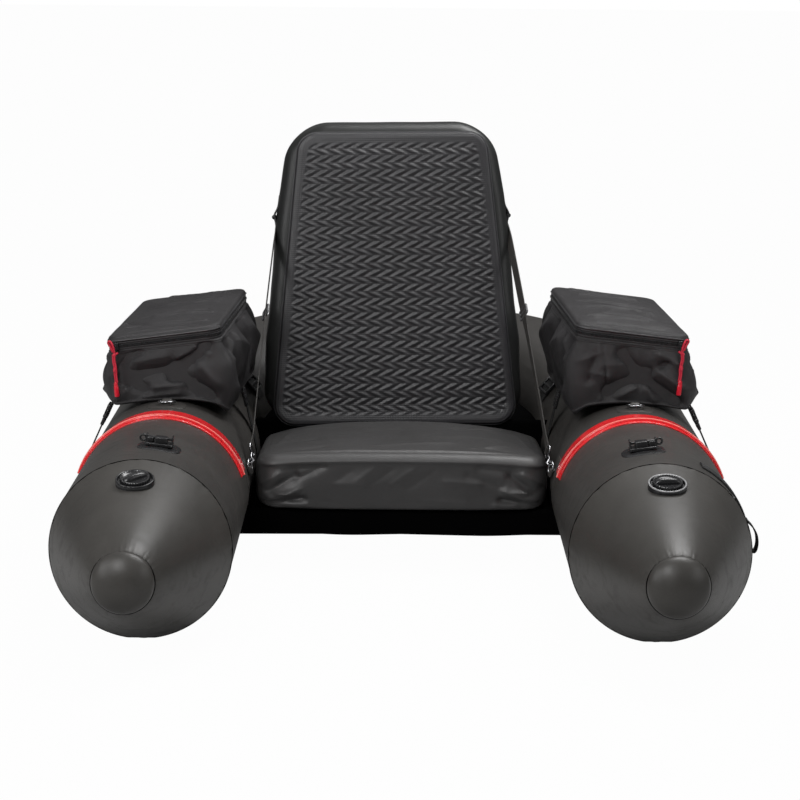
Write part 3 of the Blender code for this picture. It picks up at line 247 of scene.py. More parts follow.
def flat_profile(width, thickness, selvedge=0.0):
    """A webbing section: a flat oblong with round edges, thicker by selvedge near both edges."""
    half, t = width / 2, thickness / 2
    turn = np.linspace(-np.pi / 2, np.pi / 2, 7)
    edge = np.stack((half - t + t * np.cos(turn), (t + selvedge) * np.sin(turn)), -1)
    inner = np.linspace(0.8, -0.8, 5)[:, None] * np.array([[half - t, 0.0]])
    top = inner + np.array([[0.0, t]])
    return np.concatenate((edge, top, -edge, -top))


def wire(path, radius, sides=12, across=(0.13, 0.31, 0.94), closed=False):
    """Rings of a round wire along the path."""
    return sweep(path, across, round_profile(radius, sides), closed)


bent = flow([(0, 0, 0), (1, 0, 0), (1, 1, 0)], 5)
print("steps of a bent path:", np.round(np.linalg.norm(np.diff(bent, axis=0), axis=1), 3))

# %% [markdown]
# Turned and moulded parts are worked out round their own origin, with Z in the direction in which
# the part stands. One 4 x 4 matrix then moves and turns all their points together. A moulded block
# needs round edges, because a sharp edge catches no light, so each block is a stack of outlines
# that draws in at its foot and its top.

# %% Turned forms and rounded blocks
def placed(points, place):
    """Points of a local grid moved and turned by a 4 x 4 matrix."""
    place = np.asarray(place, float)
    return points @ place[:3, :3].T + place[:3, 3]


def frame_at(origin, up, across):
    """A 4 x 4 matrix at the origin whose Z is up and whose X is as near as it can be to across."""
    z = unit(np.asarray(up, float))
    y = unit(np.cross(z, across))
    place = np.eye(4)
    place[:3, 0], place[:3, 1], place[:3, 2], place[:3, 3] = np.cross(y, z), y, z, origin
    return place


def lathe(profile, place, sides=64, ripple=None):
    """Rings of a turned form: each (radius, height) of the profile becomes a circle round the Z
    axis of the matrix place. ripple multiplies the radii by one factor for each ring and side."""
    profile = np.asarray(profile, float)
    turn = np.linspace(0, 2 * np.pi, sides, endpoint=False)
    radius = profile[:, :1] * (np.ones((len(profile), sides)) if ripple is None else ripple(turn))
    local = np.stack((radius * np.cos(turn), radius * np.sin(turn),
                      np.repeat(profile[:, 1:], sides, 1)), -1)
    return placed(local, place)


def rounded_outline(width, depth, corner, steps=6):
    """An oblong in X and Y with round corners, as one closed line."""
    turn = np.linspace(0, np.pi / 2, steps)
    a = np.stack((width / 2 - corner + corner * np.cos(turn),
                  depth / 2 - corner + corner * np.sin(turn)), -1)
    b = a[::-1] * (-1, 1)
    return np.concatenate((a, b, -a, -b))


def stood_up(outline, height=0.0):
    """A flat outline stood on its edge: X stays, and Y becomes the height."""
    return np.stack((outline[:, 0], 0 * outline[:, 0], height + outline[:, 1]), -1)


def block(size, edge, corner, place, middle=(0, 0, 0)):
    """Rings of a moulded block: a round-cornered oblong that draws in at its foot and its top
    along a quarter circle of radius edge."""
    wide, deep, tall = size
    turn = np.linspace(0, np.pi / 2, 5)
    inset = np.concatenate((edge * (1 - np.sin(turn)), edge * (1 - np.cos(turn))))
    height = np.concatenate((edge * (1 - np.cos(turn)), tall - edge * (1 - np.sin(turn))))
    rings = []
    for d, h in zip(inset, height):
        line = rounded_outline(wide - 2 * d, deep - 2 * d, max(corner - d, 0.2 * mm))
        rings.append(np.concatenate((line, np.full((len(line), 1), h - tall / 2)), 1))
    return placed(np.array(rings) + np.asarray(middle, float), place)


def blocks(rows, place):
    """Several blocks in one place. Each row is (size, edge, corner, middle), all in mm."""
    return [block(np.multiply(size, mm), edge * mm, corner * mm, place, np.multiply(middle, mm))
            for size, edge, corner, middle in rows]


brick = block((30 * mm, 20 * mm, 10 * mm), 2 * mm, 3 * mm, np.eye(4))
print("a block measures", np.round(brick.max((0, 1)) - brick.min((0, 1)), 4))

# %% [markdown]
# ## The tube's own sizes
# The hull is one tube of constant radius, bent into a U. Its axis is straight along both pontoons
# and an ellipse round the stern, where it rises. Everything that lies on the tube is placed with
# on_tube, by how far aft it is and how far round from the top line, so these numbers repeat those
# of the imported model.

# %% Places on the tube
touch_gap = 0.3 * mm
tube_radius = 149 * mm
half_spacing = 422 * mm
axis_height = 148 * mm
seam_y = -553 * mm
bend_y = 310 * mm
bend_length = 391 * mm
stern_rise = 72 * mm
pontoon_end_y = 300 * mm
nose_length = 267 * mm
nose_rise = 13.6 * mm
dome_radius = 49 * mm
dome_bulge = 30 * mm
nose_fullness = 0.85
sides = {"left": -1, "right": 1}


def bend_place(turn):
    """Axis of the stern bend: an ellipse in plan that rises with a smooth step."""
    y = bend_y + bend_length * np.sin(turn)
    z = axis_height + stern_rise * smooth_step((y - bend_y) / bend_length)
    return np.stack((half_spacing * np.cos(turn), y, z), -1)


def tube_section(side, y):
    """Centre, outward and upward directions of the tube's section at each y."""
    y = np.asarray(y, float)
    turn = np.arcsin(np.clip((y - bend_y) / bend_length, 0, 1))
    small = math.radians(1)
    along = unit(bend_place(turn + small) - bend_place(turn - small))
    up = unit(np.array([0, 0, 1.0]) - along * along[..., 2:])
    outward = np.cross(along, up)
    straight = (y <= bend_y)[..., None]
    centre = np.where(straight, np.stack((np.full_like(y, half_spacing), y,
                                          np.full_like(y, axis_height)), -1), bend_place(turn))
    outward = np.where(straight, np.array([1.0, 0, 0]), outward)
    up = np.where(straight, np.array([0, 0, 1.0]), up)
    mirror = np.array([side, 1, 1])
    return centre * mirror, outward * mirror, up * mirror


def on_tube(side, y, angle, lift=0.0):
    """Points above the tube: centre + (radius + lift)(outward sin a + up cos a)."""
    y, angle, lift = np.broadcast_arrays(np.asarray(y, float), np.asarray(angle, float), lift)
    centre, outward, up = tube_section(side, y)
    a = np.radians(angle)[..., None]
    return centre + (tube_radius + lift)[..., None] * (outward * np.sin(a) + up * np.cos(a))


def nose_radius(ahead):
    """Cone radius: from the tube's to the dome's, as (1 - share) to the power of its fullness."""
    rest = np.clip(1 - ahead / nose_length, 0, 1)
    return dome_radius + (tube_radius - dome_radius) * rest ** nose_fullness


def nose_centre(side, ahead):
    """Axis of the cone, which rises a little towards its tip."""
    ahead = np.asarray(ahead, float)
    return np.stack((np.full_like(ahead, side * half_spacing), seam_y - ahead,
                     axis_height + nose_rise * ahead / nose_length), -1)


stern_top = float(bend_place(np.pi / 2)[2]) + tube_radius
print("axes", 2 * half_spacing, "m apart, top of the stern at", round(stern_top, 3), "m")

# %% [markdown]
# ## Finishes
# Every finish is a small node tree with one Principled shader. Three effects come back in many of
# them, so they are node groups: a drift between two tones, a woven relief, and soft scuffs. The
# groups only give colours, masks and heights. The shader, with its plain numbers, stays outside.

# %% Node helpers and the group for drift
def new_group(name, inputs, outputs):
    """An empty shader node group with named sockets."""
    group = bpy.data.node_groups.new(name, "ShaderNodeTree")
    for label, kind, value in inputs:
        socket = group.interface.new_socket(name=label, in_out="INPUT", socket_type=kind)
        if value is not None:
            socket.default_value = value
    for label, kind in outputs:
        group.interface.new_socket(name=label, in_out="OUTPUT", socket_type=kind)
    group.nodes.new("NodeGroupInput")
    group.nodes.new("NodeGroupOutput")
    return group


def add(tree, kind, links=(), **settings):
    """A node with its settings, and links from other sockets to its named or numbered inputs."""
    node = tree.nodes.new(kind)
    for key, value in settings.items():
        setattr(node, key, value)
    for key, source in links:
        if isinstance(source, bpy.types.NodeSocket):
            tree.links.new(source, node.inputs[key])
        else:
            node.inputs[key].default_value = source
    return node


def maths(tree, operation, first, second=0.0):
    """One Math node, and its output."""
    return add(tree, "ShaderNodeMath", ((0, first), (1, second)), operation=operation).outputs[0]


def tone_drift_group():
    """Colour that drifts between a low and a high tone with large and fine noise."""
    group = new_group("tone_drift", (("Vector", "NodeSocketVector", None),
                                     ("Low", "NodeSocketColor", (0, 0, 0, 1)),
                                     ("High", "NodeSocketColor", (1, 1, 1, 1)),
                                     ("Size", "NodeSocketFloat", 8.0)),
                      (("Color", "NodeSocketColor"),))
    inside = group.nodes["Group Input"].outputs
    large = add(group, "ShaderNodeTexNoise", (("Vector", inside["Vector"]),
                                              ("Scale", inside["Size"]), ("Detail", 3.0)))
    fine = add(group, "ShaderNodeTexNoise", (("Vector", inside["Vector"]), ("Scale", 420.0),
                                             ("Detail", 2.0)))
    both = maths(group, "MULTIPLY_ADD", fine.outputs["Fac"], 0.35)
    group.links.new(large.outputs["Fac"], both.node.inputs[2])
    spread = add(group, "ShaderNodeMapRange", (("Value", both), ("From Min", 0.45),
                                               ("From Max", 0.9)))
    mix = add(group, "ShaderNodeMix", (("Factor", spread.outputs["Result"]),), data_type="RGBA")
    tones = {"A": inside["Low"], "B": inside["High"]}
    for socket in mix.inputs:
        if socket.type == "RGBA" and socket.name in tones:
            group.links.new(tones[socket.name], socket)
    colour = [socket for socket in mix.outputs if socket.type == "RGBA"][0]
    group.links.new(colour, group.nodes["Group Output"].inputs["Color"])
    return group


tone_drift = tone_drift_group()
print("group", tone_drift.name, "with", len(tone_drift.nodes), "nodes")

# %% [markdown]
# A plain weave is two rows of threads at right angles. The product of two sine waves stands high
# where threads cross, and a bump needs no more at this size. Scuffs are noise of which only the
# peaks stay.

# %% Groups for weave and scuffs
def weave_group():
    """Plain weave: |sin(pi u)| |sin(pi v)| on a grid of threads, as a height from 0 to 1."""
    group = new_group("plain_weave", (("Vector", "NodeSocketVector", None),
                                      ("Threads across", "NodeSocketFloat", 1000.0),
                                      ("Threads along", "NodeSocketFloat", 1000.0)),
                      (("Height", "NodeSocketFloat"),))
    inside = group.nodes["Group Input"].outputs
    parts = add(group, "ShaderNodeSeparateXYZ", ((0, inside["Vector"]),)).outputs
    waves = []
    for axis, label in (("X", "Threads across"), ("Y", "Threads along")):
        count = maths(group, "MULTIPLY", parts[axis], inside[label])
        wave = maths(group, "SINE", maths(group, "MULTIPLY", count, math.pi))
        waves.append(maths(group, "ABSOLUTE", wave))
    height = maths(group, "MULTIPLY", *waves)
    group.links.new(height, group.nodes["Group Output"].inputs["Height"])
    return group


def scuff_group():
    """Soft rubbed places: stretched noise, pushed to the ends, as a mask."""
    group = new_group("scuffs", (("Vector", "NodeSocketVector", None),
                                 ("Size", "NodeSocketFloat", 30.0)),
                      (("Mask", "NodeSocketFloat"),))
    inside = group.nodes["Group Input"].outputs
    noise = add(group, "ShaderNodeTexNoise", (("Vector", inside["Vector"]),
                                              ("Scale", inside["Size"]), ("Detail", 6.0),
                                              ("Roughness", 0.65), ("Distortion", 0.8)))
    spread = add(group, "ShaderNodeMapRange", (("Value", noise.outputs["Fac"]),
                                               ("From Min", 0.5), ("From Max", 0.75)))
    group.links.new(spread.outputs["Result"], group.nodes["Group Output"].inputs["Mask"])
    return group


plain_weave, scuffs = weave_group(), scuff_group()
print("groups:", [group.name for group in bpy.data.node_groups])

# %% [markdown]
# One function writes all the cloth, rubber and plastic finishes from those groups. It takes the two
# tones, the roughness and how it varies, the thread counts per metre and the depth of the relief.
# The weave follows the UV map, which runs in metres round and along each piece. The drift, the
# scuffs and the fine grain have no direction, so they follow the object coordinates.

# %% Finishes of this object
drift_size, grain_size = 8.0, 900.0


def finish(name, low, high, rough, rough_spread=0.08, threads=None, weave_depth=0.0,
           grain_depth=0.05, metallic=0.0, coat=0.0, specular=0.5):
    """A Principled material: drifting tone, varied roughness, and a relief of weave and grain."""
    material = bpy.data.materials.new(name)
    material.use_nodes = True
    tree = material.node_tree
    shader = tree.nodes["Principled BSDF"]
    place = add(tree, "ShaderNodeTexCoord").outputs
    colour = add(tree, "ShaderNodeGroup", (("Vector", place["Object"]), ("Low", (*low, 1)),
                                           ("High", (*high, 1)), ("Size", drift_size)),
                 node_tree=tone_drift)
    tree.links.new(colour.outputs["Color"], shader.inputs["Base Color"])
    rubbed = add(tree, "ShaderNodeGroup", (("Vector", place["Object"]),), node_tree=scuffs)
    uneven = add(tree, "ShaderNodeMapRange", (("Value", rubbed.outputs["Mask"]),
                                              ("To Min", rough - rough_spread / 2),
                                              ("To Max", rough + rough_spread)))
    tree.links.new(uneven.outputs["Result"], shader.inputs["Roughness"])
    noise = add(tree, "ShaderNodeTexNoise", (("Vector", place["Object"]),
                                             ("Scale", grain_size), ("Detail", 2.0)))
    bump = add(tree, "ShaderNodeBump", (("Height", noise.outputs["Fac"]),
                                        ("Strength", grain_depth), ("Distance", 1 * mm)))
    if threads:
        weave = add(tree, "ShaderNodeGroup", (("Vector", place["UV"]),
                                              ("Threads across", threads[0]),
                                              ("Threads along", threads[1])),
                    node_tree=plain_weave)
        bump = add(tree, "ShaderNodeBump", (("Height", weave.outputs["Height"]),
                                            ("Strength", weave_depth), ("Distance", 0.5 * mm),
                                            ("Normal", bump.outputs["Normal"])))
    tree.links.new(bump.outputs["Normal"], shader.inputs["Normal"])
    shader.inputs["Metallic"].default_value = metallic
    shader.inputs["Coat Weight"].default_value = coat
    shader.inputs["Specular IOR Level"].default_value = specular
    return material


hull_cloth = finish("hull_fabric", (0.033, 0.031, 0.029), (0.045, 0.042, 0.039), 0.43, 0.10,
                    (800, 800), 0.10, grain_depth=0.04, specular=0.36)
cone_cloth = finish("cone_fabric", (0.036, 0.034, 0.031), (0.050, 0.047, 0.043), 0.45, 0.10,
                    (800, 800), 0.10, grain_depth=0.04, specular=0.36)
red_rubber = finish("red_rubber", (0.56, 0.009, 0.013), (0.70, 0.014, 0.018), 0.30, 0.08,
                    grain_depth=0.03, coat=0.35)
# Pale pink, used only for a wire along the band's bead: a painted highlight of the bead's gloss.
painted_highlight_pink = finish("band_highlight_paint", (0.80, 0.20, 0.17), (0.88, 0.28, 0.24), 0.22, 0.05,
                     grain_depth=0.02, coat=0.5)
black_rubber = finish("black_rubber", (0.014, 0.014, 0.015), (0.022, 0.022, 0.023), 0.50)
black_plastic = finish("black_plastic", (0.010, 0.010, 0.011), (0.016, 0.016, 0.017), 0.30)
grey_plastic = finish("grey_plastic", (0.060, 0.060, 0.062), (0.085, 0.085, 0.088), 0.26)
bag_cloth = finish("bag_fabric", (0.0160, 0.0150, 0.0160), (0.026, 0.0245, 0.026), 0.52, 0.08,
                   (1700, 1700), 0.45, grain_depth=0.05, specular=0.45)
seat_cloth = finish("seat_fabric", (0.027, 0.026, 0.026), (0.037, 0.036, 0.036), 0.50, 0.08,
                    (1200, 1200), 0.10)
back_cloth = finish("back_fabric", (0.011, 0.0115, 0.0112), (0.017, 0.0175, 0.0172), 0.40, 0.08,
                    (1200, 1200), 0.10, specular=0.4)
pad_cloth = finish("foam_pad", (0.015, 0.0145, 0.016), (0.023, 0.022, 0.025), 0.46, 0.06,
                   (210, 240), 0.45, specular=0.6)
# Black cloth made far darker and duller than any cloth: painted shade under and behind the seat, and
# along the welds.
painted_shade_black = finish("sheet_fabric", (0.0005, 0.0005, 0.0006), (0.0010, 0.0010, 0.0011), 0.80,
                     0.06, (1500, 1500), 0.2, specular=0.02)
webbing = finish("webbing", (0.020, 0.018, 0.016), (0.034, 0.031, 0.028), 0.60, 0.05,
                 (900, 450), 0.8)
dark_webbing = finish("dark_webbing", (0.006, 0.006, 0.006), (0.012, 0.012, 0.012), 0.60, 0.05,
                      (900, 450), 0.8)
# Pale grey for the right valve's rim only: a painted highlight of the light along that rim.
painted_highlight_grey = finish("painted_highlight_grey", (0.24, 0.24, 0.245), (0.32, 0.32, 0.325), 0.22)
piping_cloth = finish("piping", (0.030, 0.030, 0.032), (0.045, 0.045, 0.048), 0.45, 0.05)
steel = finish("steel", (0.24, 0.24, 0.25), (0.36, 0.36, 0.37), 0.30, 0.08, metallic=1.0,
               grain_depth=0.02)
red_cord = finish("red_cord", (0.50, 0.008, 0.030), (0.72, 0.02, 0.06), 0.55, 0.05,
                  (900, 900), 0.6)
red_plastic = finish("red_plastic", (0.60, 0.006, 0.022), (0.74, 0.012, 0.035), 0.34)
print(len(bpy.data.materials), "materials")

# %% [markdown]
# ## Studio
# The ground is a plain pale sheet that still shows the object's shadow. Seen by the camera it is
# mostly plain white, with a share of real shading left in. The world is white for the camera, and
# for the object it is brightest overhead, dimmer at the level of the horizon, as in a studio with
# soft boxes above.

# %% Floor, world and lamps
def plain_floor():
    """A large flat sheet of one quad under the object."""
    reach = 40.0
    mesh = bpy.data.meshes.new("studio_floor")
    corners = [(-reach, -reach, 0), (reach, -reach, 0), (reach, reach, 0), (-reach, reach, 0)]
    mesh.from_pydata(corners, [], [(0, 1, 2, 3)])
    floor = bpy.data.objects.new("studio_floor", mesh)
    bpy.context.scene.collection.objects.link(floor)
    material = bpy.data.materials.new("studio_floor")
    material.use_nodes = True
    tree = material.node_tree
    tree.nodes.clear()
    diffuse = add(tree, "ShaderNodeBsdfDiffuse", (("Color", (0.38, 0.38, 0.38, 1)),))
    glow = add(tree, "ShaderNodeEmission", (("Color", (1, 1, 1, 1)), ("Strength", 1.0)))
    rays = add(tree, "ShaderNodeLightPath").outputs
    shiny = maths(tree, "MULTIPLY", rays["Is Glossy Ray"], 0.08)
    share = maths(tree, "MULTIPLY_ADD", rays["Is Camera Ray"], 0.98)
    tree.links.new(shiny, share.node.inputs[2])
    mix = add(tree, "ShaderNodeMixShader", ((0, share), (1, diffuse.outputs[0]),
                                            (2, glow.outputs[0])))
    out = add(tree, "ShaderNodeOutputMaterial")
    tree.links.new(mix.outputs[0], out.inputs["Surface"])
    mesh.materials.append(material)


def studio_world():
    """White for camera and transmission rays. The rest sees a sky that brightens overhead."""
    world = bpy.data.worlds.new("studio")
    bpy.context.scene.world = world
    world.use_nodes = True
    tree = world.node_tree
    tree.nodes.clear()
    place = add(tree, "ShaderNodeTexCoord").outputs["Generated"]
    height = add(tree, "ShaderNodeSeparateXYZ", ((0, place),)).outputs["Z"]
    sky = add(tree, "ShaderNodeMapRange", (("Value", height), ("From Min", -0.05),
                                           ("From Max", 0.9), ("To Min", 0.07), ("To Max", 0.36)))
    soft = add(tree, "ShaderNodeBackground", (("Strength", sky.outputs["Result"]),))
    white = add(tree, "ShaderNodeBackground", (("Color", (1, 1, 1, 1)), ("Strength", 1.0)))
    rays = add(tree, "ShaderNodeLightPath").outputs
    seen = maths(tree, "ADD", rays["Is Camera Ray"], rays["Is Transmission Ray"])
    mix = add(tree, "ShaderNodeMixShader", ((0, seen), (1, soft.outputs[0]),
                                            (2, white.outputs[0])))
    out = add(tree, "ShaderNodeOutputWorld")
    tree.links.new(mix.outputs[0], out.inputs["Surface"])


def softbox(name, place, target, size, power):
    """A square area lamp that looks at the target."""
    light = bpy.data.lights.new(name, "AREA")
    light.shape = "RECTANGLE"
    light.size, light.size_y = size
    light.energy = power
    lamp = bpy.data.objects.new(name, light)
    bpy.context.scene.collection.objects.link(lamp)
    lamp.matrix_world = Matrix(frame_at(place, np.subtract(place, target), (1, 0, 0)).tolist())


plain_floor()
studio_world()
softbox("lamp_overhead", (0.80, 0.25, 2.7), (0, -0.2, 0.2), (1.4, 1.2), 66)
softbox("lamp_behind", (-0.7, 1.7, 2.6), (0, 0.1, 0.3), (1.6, 0.8), 2)
softbox("lamp_front", (-1.3, -2.8, 2.8), (0, 0.0, 0.3), (1.2, 0.9), 62)
softbox("lamp_left", (-3.2, -1.8, 1.9), (0, 0, 0.3), (1.4, 2.0), 42)
softbox("lamp_right", (3.2, -1.8, 1.9), (0, 0, 0.3), (1.4, 2.0), 20)
view = bpy.context.scene.view_settings
view.view_transform = "Standard"
print("lamps:", [lamp.name for lamp in bpy.data.lights])

# %% [markdown]
# ## Hull tubes
# The real tubes are coated cloth, welded to a round section and blown up hard, so they are nearly
# perfect pipes. A smooth pipe alone looks like plastic, though. Near a weld the cloth puckers into
# fine ripples, and the keel is pressed flat where it stands. Both are small changes of the radius
# on a fine grid.

# %% Skins of the pontoons, the stern and the cones
def pucker(angle, distance, reach=22 * mm, height=0.45 * mm):
    """Weld ripples: a sum of sines round the tube that fades with distance from the weld."""
    waves = (np.sin(31 * angle + 0.4) + np.sin(47 * angle + 1.9) * 0.8
             + np.sin(71 * angle + 3.1) * 0.6 + np.sin(13 * angle + 5.0) * 0.7)
    return height * waves / 2 * np.exp(-(distance / reach) ** 2)


round_steps = 180
turn = np.linspace(0, 2 * np.pi, round_steps, endpoint=False)
near_weld = np.linspace(0.6 * mm, 30 * mm, 14)


def rest_on_keel(rings):
    """The lowest strip is pressed flat on the ground: no height is below 0."""
    rings[..., 2] = np.maximum(rings[..., 2], 0.0)
    return rings


def tube_rings(centre, outward, up, radius):
    """Rings of a tube: centre + radius (outward sin a + up cos a), flat where it stands."""
    ring = outward[:, None] * np.sin(turn)[:, None] + up[:, None] * np.cos(turn)[:, None]
    return rest_on_keel(centre[:, None] + radius[..., None] * ring)


for name, side in sides.items():
    y = np.concatenate((seam_y + near_weld,
                        np.linspace(seam_y + 40 * mm, pontoon_end_y - 0.2 * mm, 60)))
    radius = tube_radius + pucker(turn[None, :], (y - seam_y)[:, None])
    rings = tube_rings(*tube_section(side, y), radius)
    skin = make_piece(name + "_pontoon_skin", [rings], hull_cloth)
    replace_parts(skin, name + "_pontoon")
    ahead = np.concatenate((near_weld, np.linspace(38 * mm, nose_length - 12 * mm, 34),
                            np.linspace(nose_length - 9 * mm, nose_length, 6)))
    centre = nose_centre(side, ahead)
    ripple = pucker(turn[None, :] + 0.7, ahead[:, None])
    ripple += pucker(turn[None, :] + 2.2, (nose_length - ahead)[:, None], 14 * mm, 0.35 * mm)
    radius = nose_radius(ahead)[:, None] + ripple
    ring = np.stack((side * np.sin(turn), 0 * turn, np.cos(turn)), -1)
    rings = centre[:, None] + radius[..., None] * ring
    make_piece(name + "_cone_skin", [rest_on_keel(rings)], cone_cloth)

# round the stern, the distance to a lap weld is an angle times the bend's mean radius
mean_bend_radius = 410 * mm
turns = np.linspace(0, np.pi, 150)
stub = np.array([[half_spacing, pontoon_end_y + 0.2 * mm, axis_height]])
axis = np.concatenate((stub, bend_place(turns), stub * (-1, 1, 1)))
along = unit(np.gradient(axis, axis=0))
along[0], along[-1] = (0, 1, 0), (0, -1, 0)
up = unit(np.array([0, 0, 1.0]) - along * along[:, 2:])
outward = np.cross(along, up)
panel_welds = np.radians([36, 72, 108, 144])
reach = np.abs(np.concatenate(([0], turns, [np.pi]))[:, None] - panel_welds).min(1)
reach = reach * mean_bend_radius
lap = 0.35 * mm * (1 - smooth_step((reach - 15 * mm) / (4 * mm)))
ripple = pucker(turn[None, :] + 4.0, reach[:, None], 26 * mm, 0.5 * mm)
rings = tube_rings(axis, outward, up, tube_radius + lap[:, None] + ripple)
skin = make_piece("stern_skin", [rings], hull_cloth)
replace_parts(skin, "stern_tube")
print("hull skins:", round_steps, "points round, lap welds at", np.degrees(panel_welds))

# %% [markdown]
# Where the cone laps over the tube, and round the dome, the edge of the lap casts a thin line of
# shade. A near-black wire half sunk in the skin paints that shade. The dome itself is a moulded
# cap: a part of a sphere that ends in a short skirt.

# %% Weld shade lines and nose domes
weld_shade_radius = 0.8 * mm
for name, side in sides.items():
    loop = np.stack((side * half_spacing + tube_radius * np.sin(turn), 0 * turn + seam_y,
                     np.maximum(axis_height + tube_radius * np.cos(turn), 0.5 * mm)), -1)
    # Near-black wire: painted shade of the lap round the cone's seam.
    make_piece(name + "_cone_seam_shade", [wire(loop, weld_shade_radius, 8, (0, 1, 0), True)], painted_shade_black,
               loop=True)
    tip = nose_centre(side, nose_length)
    axis_way = unit(tip - nose_centre(side, 0.0))
    place = frame_at(tip, axis_way, (1, 0, 0))
    share = np.linspace(0.995, 0.02, 26)
    swell = dome_bulge * (1 - share ** 2) ** 0.5 * (0.82 + 0.18 * (1 - share ** 2))
    profile = np.stack((dome_radius * share, touch_gap + swell), -1)
    profile = np.concatenate(([(dome_radius * 0.98, touch_gap)], profile))
    dome = make_piece(name + "_dome", [lathe(profile, place, 96)], cone_cloth)
    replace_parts(dome, name + "_nose_dome")
    ring = lathe([(dome_radius + 0.3 * mm, 0.3 * mm)], place, 96)[0]
    # Near-black wire: painted shade of the lap round the dome.
    make_piece(name + "_dome_seam_shade", [wire(ring, weld_shade_radius, 8, (0, 1, 0.2), True)],
               painted_shade_black, loop=True)
print("domes", 2 * dome_radius, "m across, the right one at", np.round(tip, 4))

# %% [markdown]
# ## Red bands and rub strakes
# A band is a moulded rubber strip glued over the tube from flank to flank, with a round bead near
# its front edge. Its section is given as places fore and aft and heights above the tube, and
# on_tube carries that section round. The rub strake is the same idea turned: a section round the
# tube with three ribs, carried fore and aft, and thinned at both ends.

# %% Bands and strakes
band_front_y, band_back_y = -208 * mm, -133 * mm
band_thickness = 2.0 * mm
bead_from_front, band_bead = 19 * mm, 4.0 * mm


def band_section():
    """Front edge, half-round bead, flat back and back edge, as (y, lift) pairs."""
    low, high, soft = touch_gap, touch_gap + band_thickness, 0.7 * mm
    a = np.linspace(0, np.pi / 2, 4)
    front = np.stack((band_front_y + soft * (1 - np.sin(a)), high - soft * (1 - np.cos(a))), -1)
    b = np.linspace(0, np.pi, 15)
    middle = band_front_y + bead_from_front
    bead = np.stack((middle - band_bead * np.cos(b), high + band_bead * np.sin(b)), -1)
    flat = np.stack((np.linspace(middle + band_bead * 1.4, band_back_y - 2 * mm, 8),
                     np.full(8, high)), -1)
    back = np.stack((band_back_y - soft * (1 - np.cos(a)), high - soft * (1 - np.sin(a))), -1)
    return np.concatenate(([(band_front_y, low)], front, bead, flat, back[::-1],
                           [(band_back_y, low)]))


section = band_section()
band_angles = np.linspace(-72, 72, 121)
crest_y = band_front_y + bead_from_front - 1.2 * mm
crest_lift = touch_gap + band_thickness + band_bead - 0.9 * mm
across = np.linspace(79, 99, 101)
near_rib = np.abs(across[:, None] - np.array([83, 89, 95])).min(1)
height = 2 * mm + 4.5 * mm * (1 - smooth_step((near_rib - 0.7) / 1.0))
strake_y = np.linspace(seam_y + 97 * mm, bend_y - 126 * mm, 70)
ends = np.minimum(strake_y - strake_y[0], strake_y[-1] - strake_y) / (14 * mm)
thin = 0.25 + 0.75 * smooth_step(ends)
for name, side in sides.items():
    rings = on_tube(side, section[None, :, 0], band_angles[:, None], section[None, :, 1])
    band = make_piece(name + "_band", [rings], red_rubber, sharp=50)
    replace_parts(band, name + "_red_band")
    # A pale pink wire half sunk along the crest of the bead is a painted highlight of its gloss.
    crest = on_tube(side, crest_y, band_angles, crest_lift)
    make_piece(name + "_band_highlight_wire", [wire(crest, 1.5 * mm, 8)], painted_highlight_pink)

    top = on_tube(side, strake_y[:, None], across[None], touch_gap + height * thin[:, None])
    foot = on_tube(side, strake_y[:, None], across[None, ::-4], touch_gap)
    strake = make_piece(name + "_strake", [np.concatenate((top, foot), 1)], black_rubber,
                        sharp=50)
    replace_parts(strake, name + "_rub_strake")
print("band from", band_front_y, "to", band_back_y, "strake", strake_y[[0, -1]])

# %% [markdown]
# ## Valves
# Each cone has a screw valve on its top. Turned forms suit it: a flange with a raised rim, a neck,
# a sprung plunger and a screw cap. The cap's skirt is knurled, which is a small ripple of its
# radius, and a tall arched grip crosses it, because wet fingers have to turn it.

# %% Valve bodies, plungers and caps
valve_ahead = 75 * mm


def valve_place(side):
    """The frame of the valve: on the cone's top line, with Z square to the cone there."""
    step = 1 * mm
    slope = (nose_radius(valve_ahead - step) - nose_radius(valve_ahead + step)
             - 2 * step * nose_rise / nose_length) / (2 * step)
    seat = nose_centre(side, valve_ahead) + np.array([0, 0, nose_radius(valve_ahead)])
    return frame_at(seat, (0, -slope, 1), (1, 0, 0))


def knurl(turn):
    """Thirty ribs round the cap's skirt, on the rings between foot and shoulder."""
    ripple = 1 + 0.012 * np.cos(30 * turn)
    plain = np.ones_like(turn)
    return np.stack([plain] * 4 + [ripple] * 4 + [plain] * 5)


def grip_rings(place, length, width, foot, top):
    """A half-barrel bar: ellipses square to its length, low at both ends and high between."""
    x = np.linspace(-1, 1, 25)
    rise = (1 - np.abs(x) ** 2.6) ** 0.5
    a = np.linspace(0, 2 * np.pi, 28, endpoint=False)
    half = width / 2 * (0.72 + 0.28 * rise)[:, None]
    across = half * np.sign(np.cos(a)) * np.abs(np.cos(a)) ** 0.8
    high = foot + (top - foot) * rise[:, None] * np.maximum(np.sin(a), -0.05)
    along = np.broadcast_to(length / 2 * x[:, None], across.shape)
    return placed(np.stack((along, across, high), -1), place)


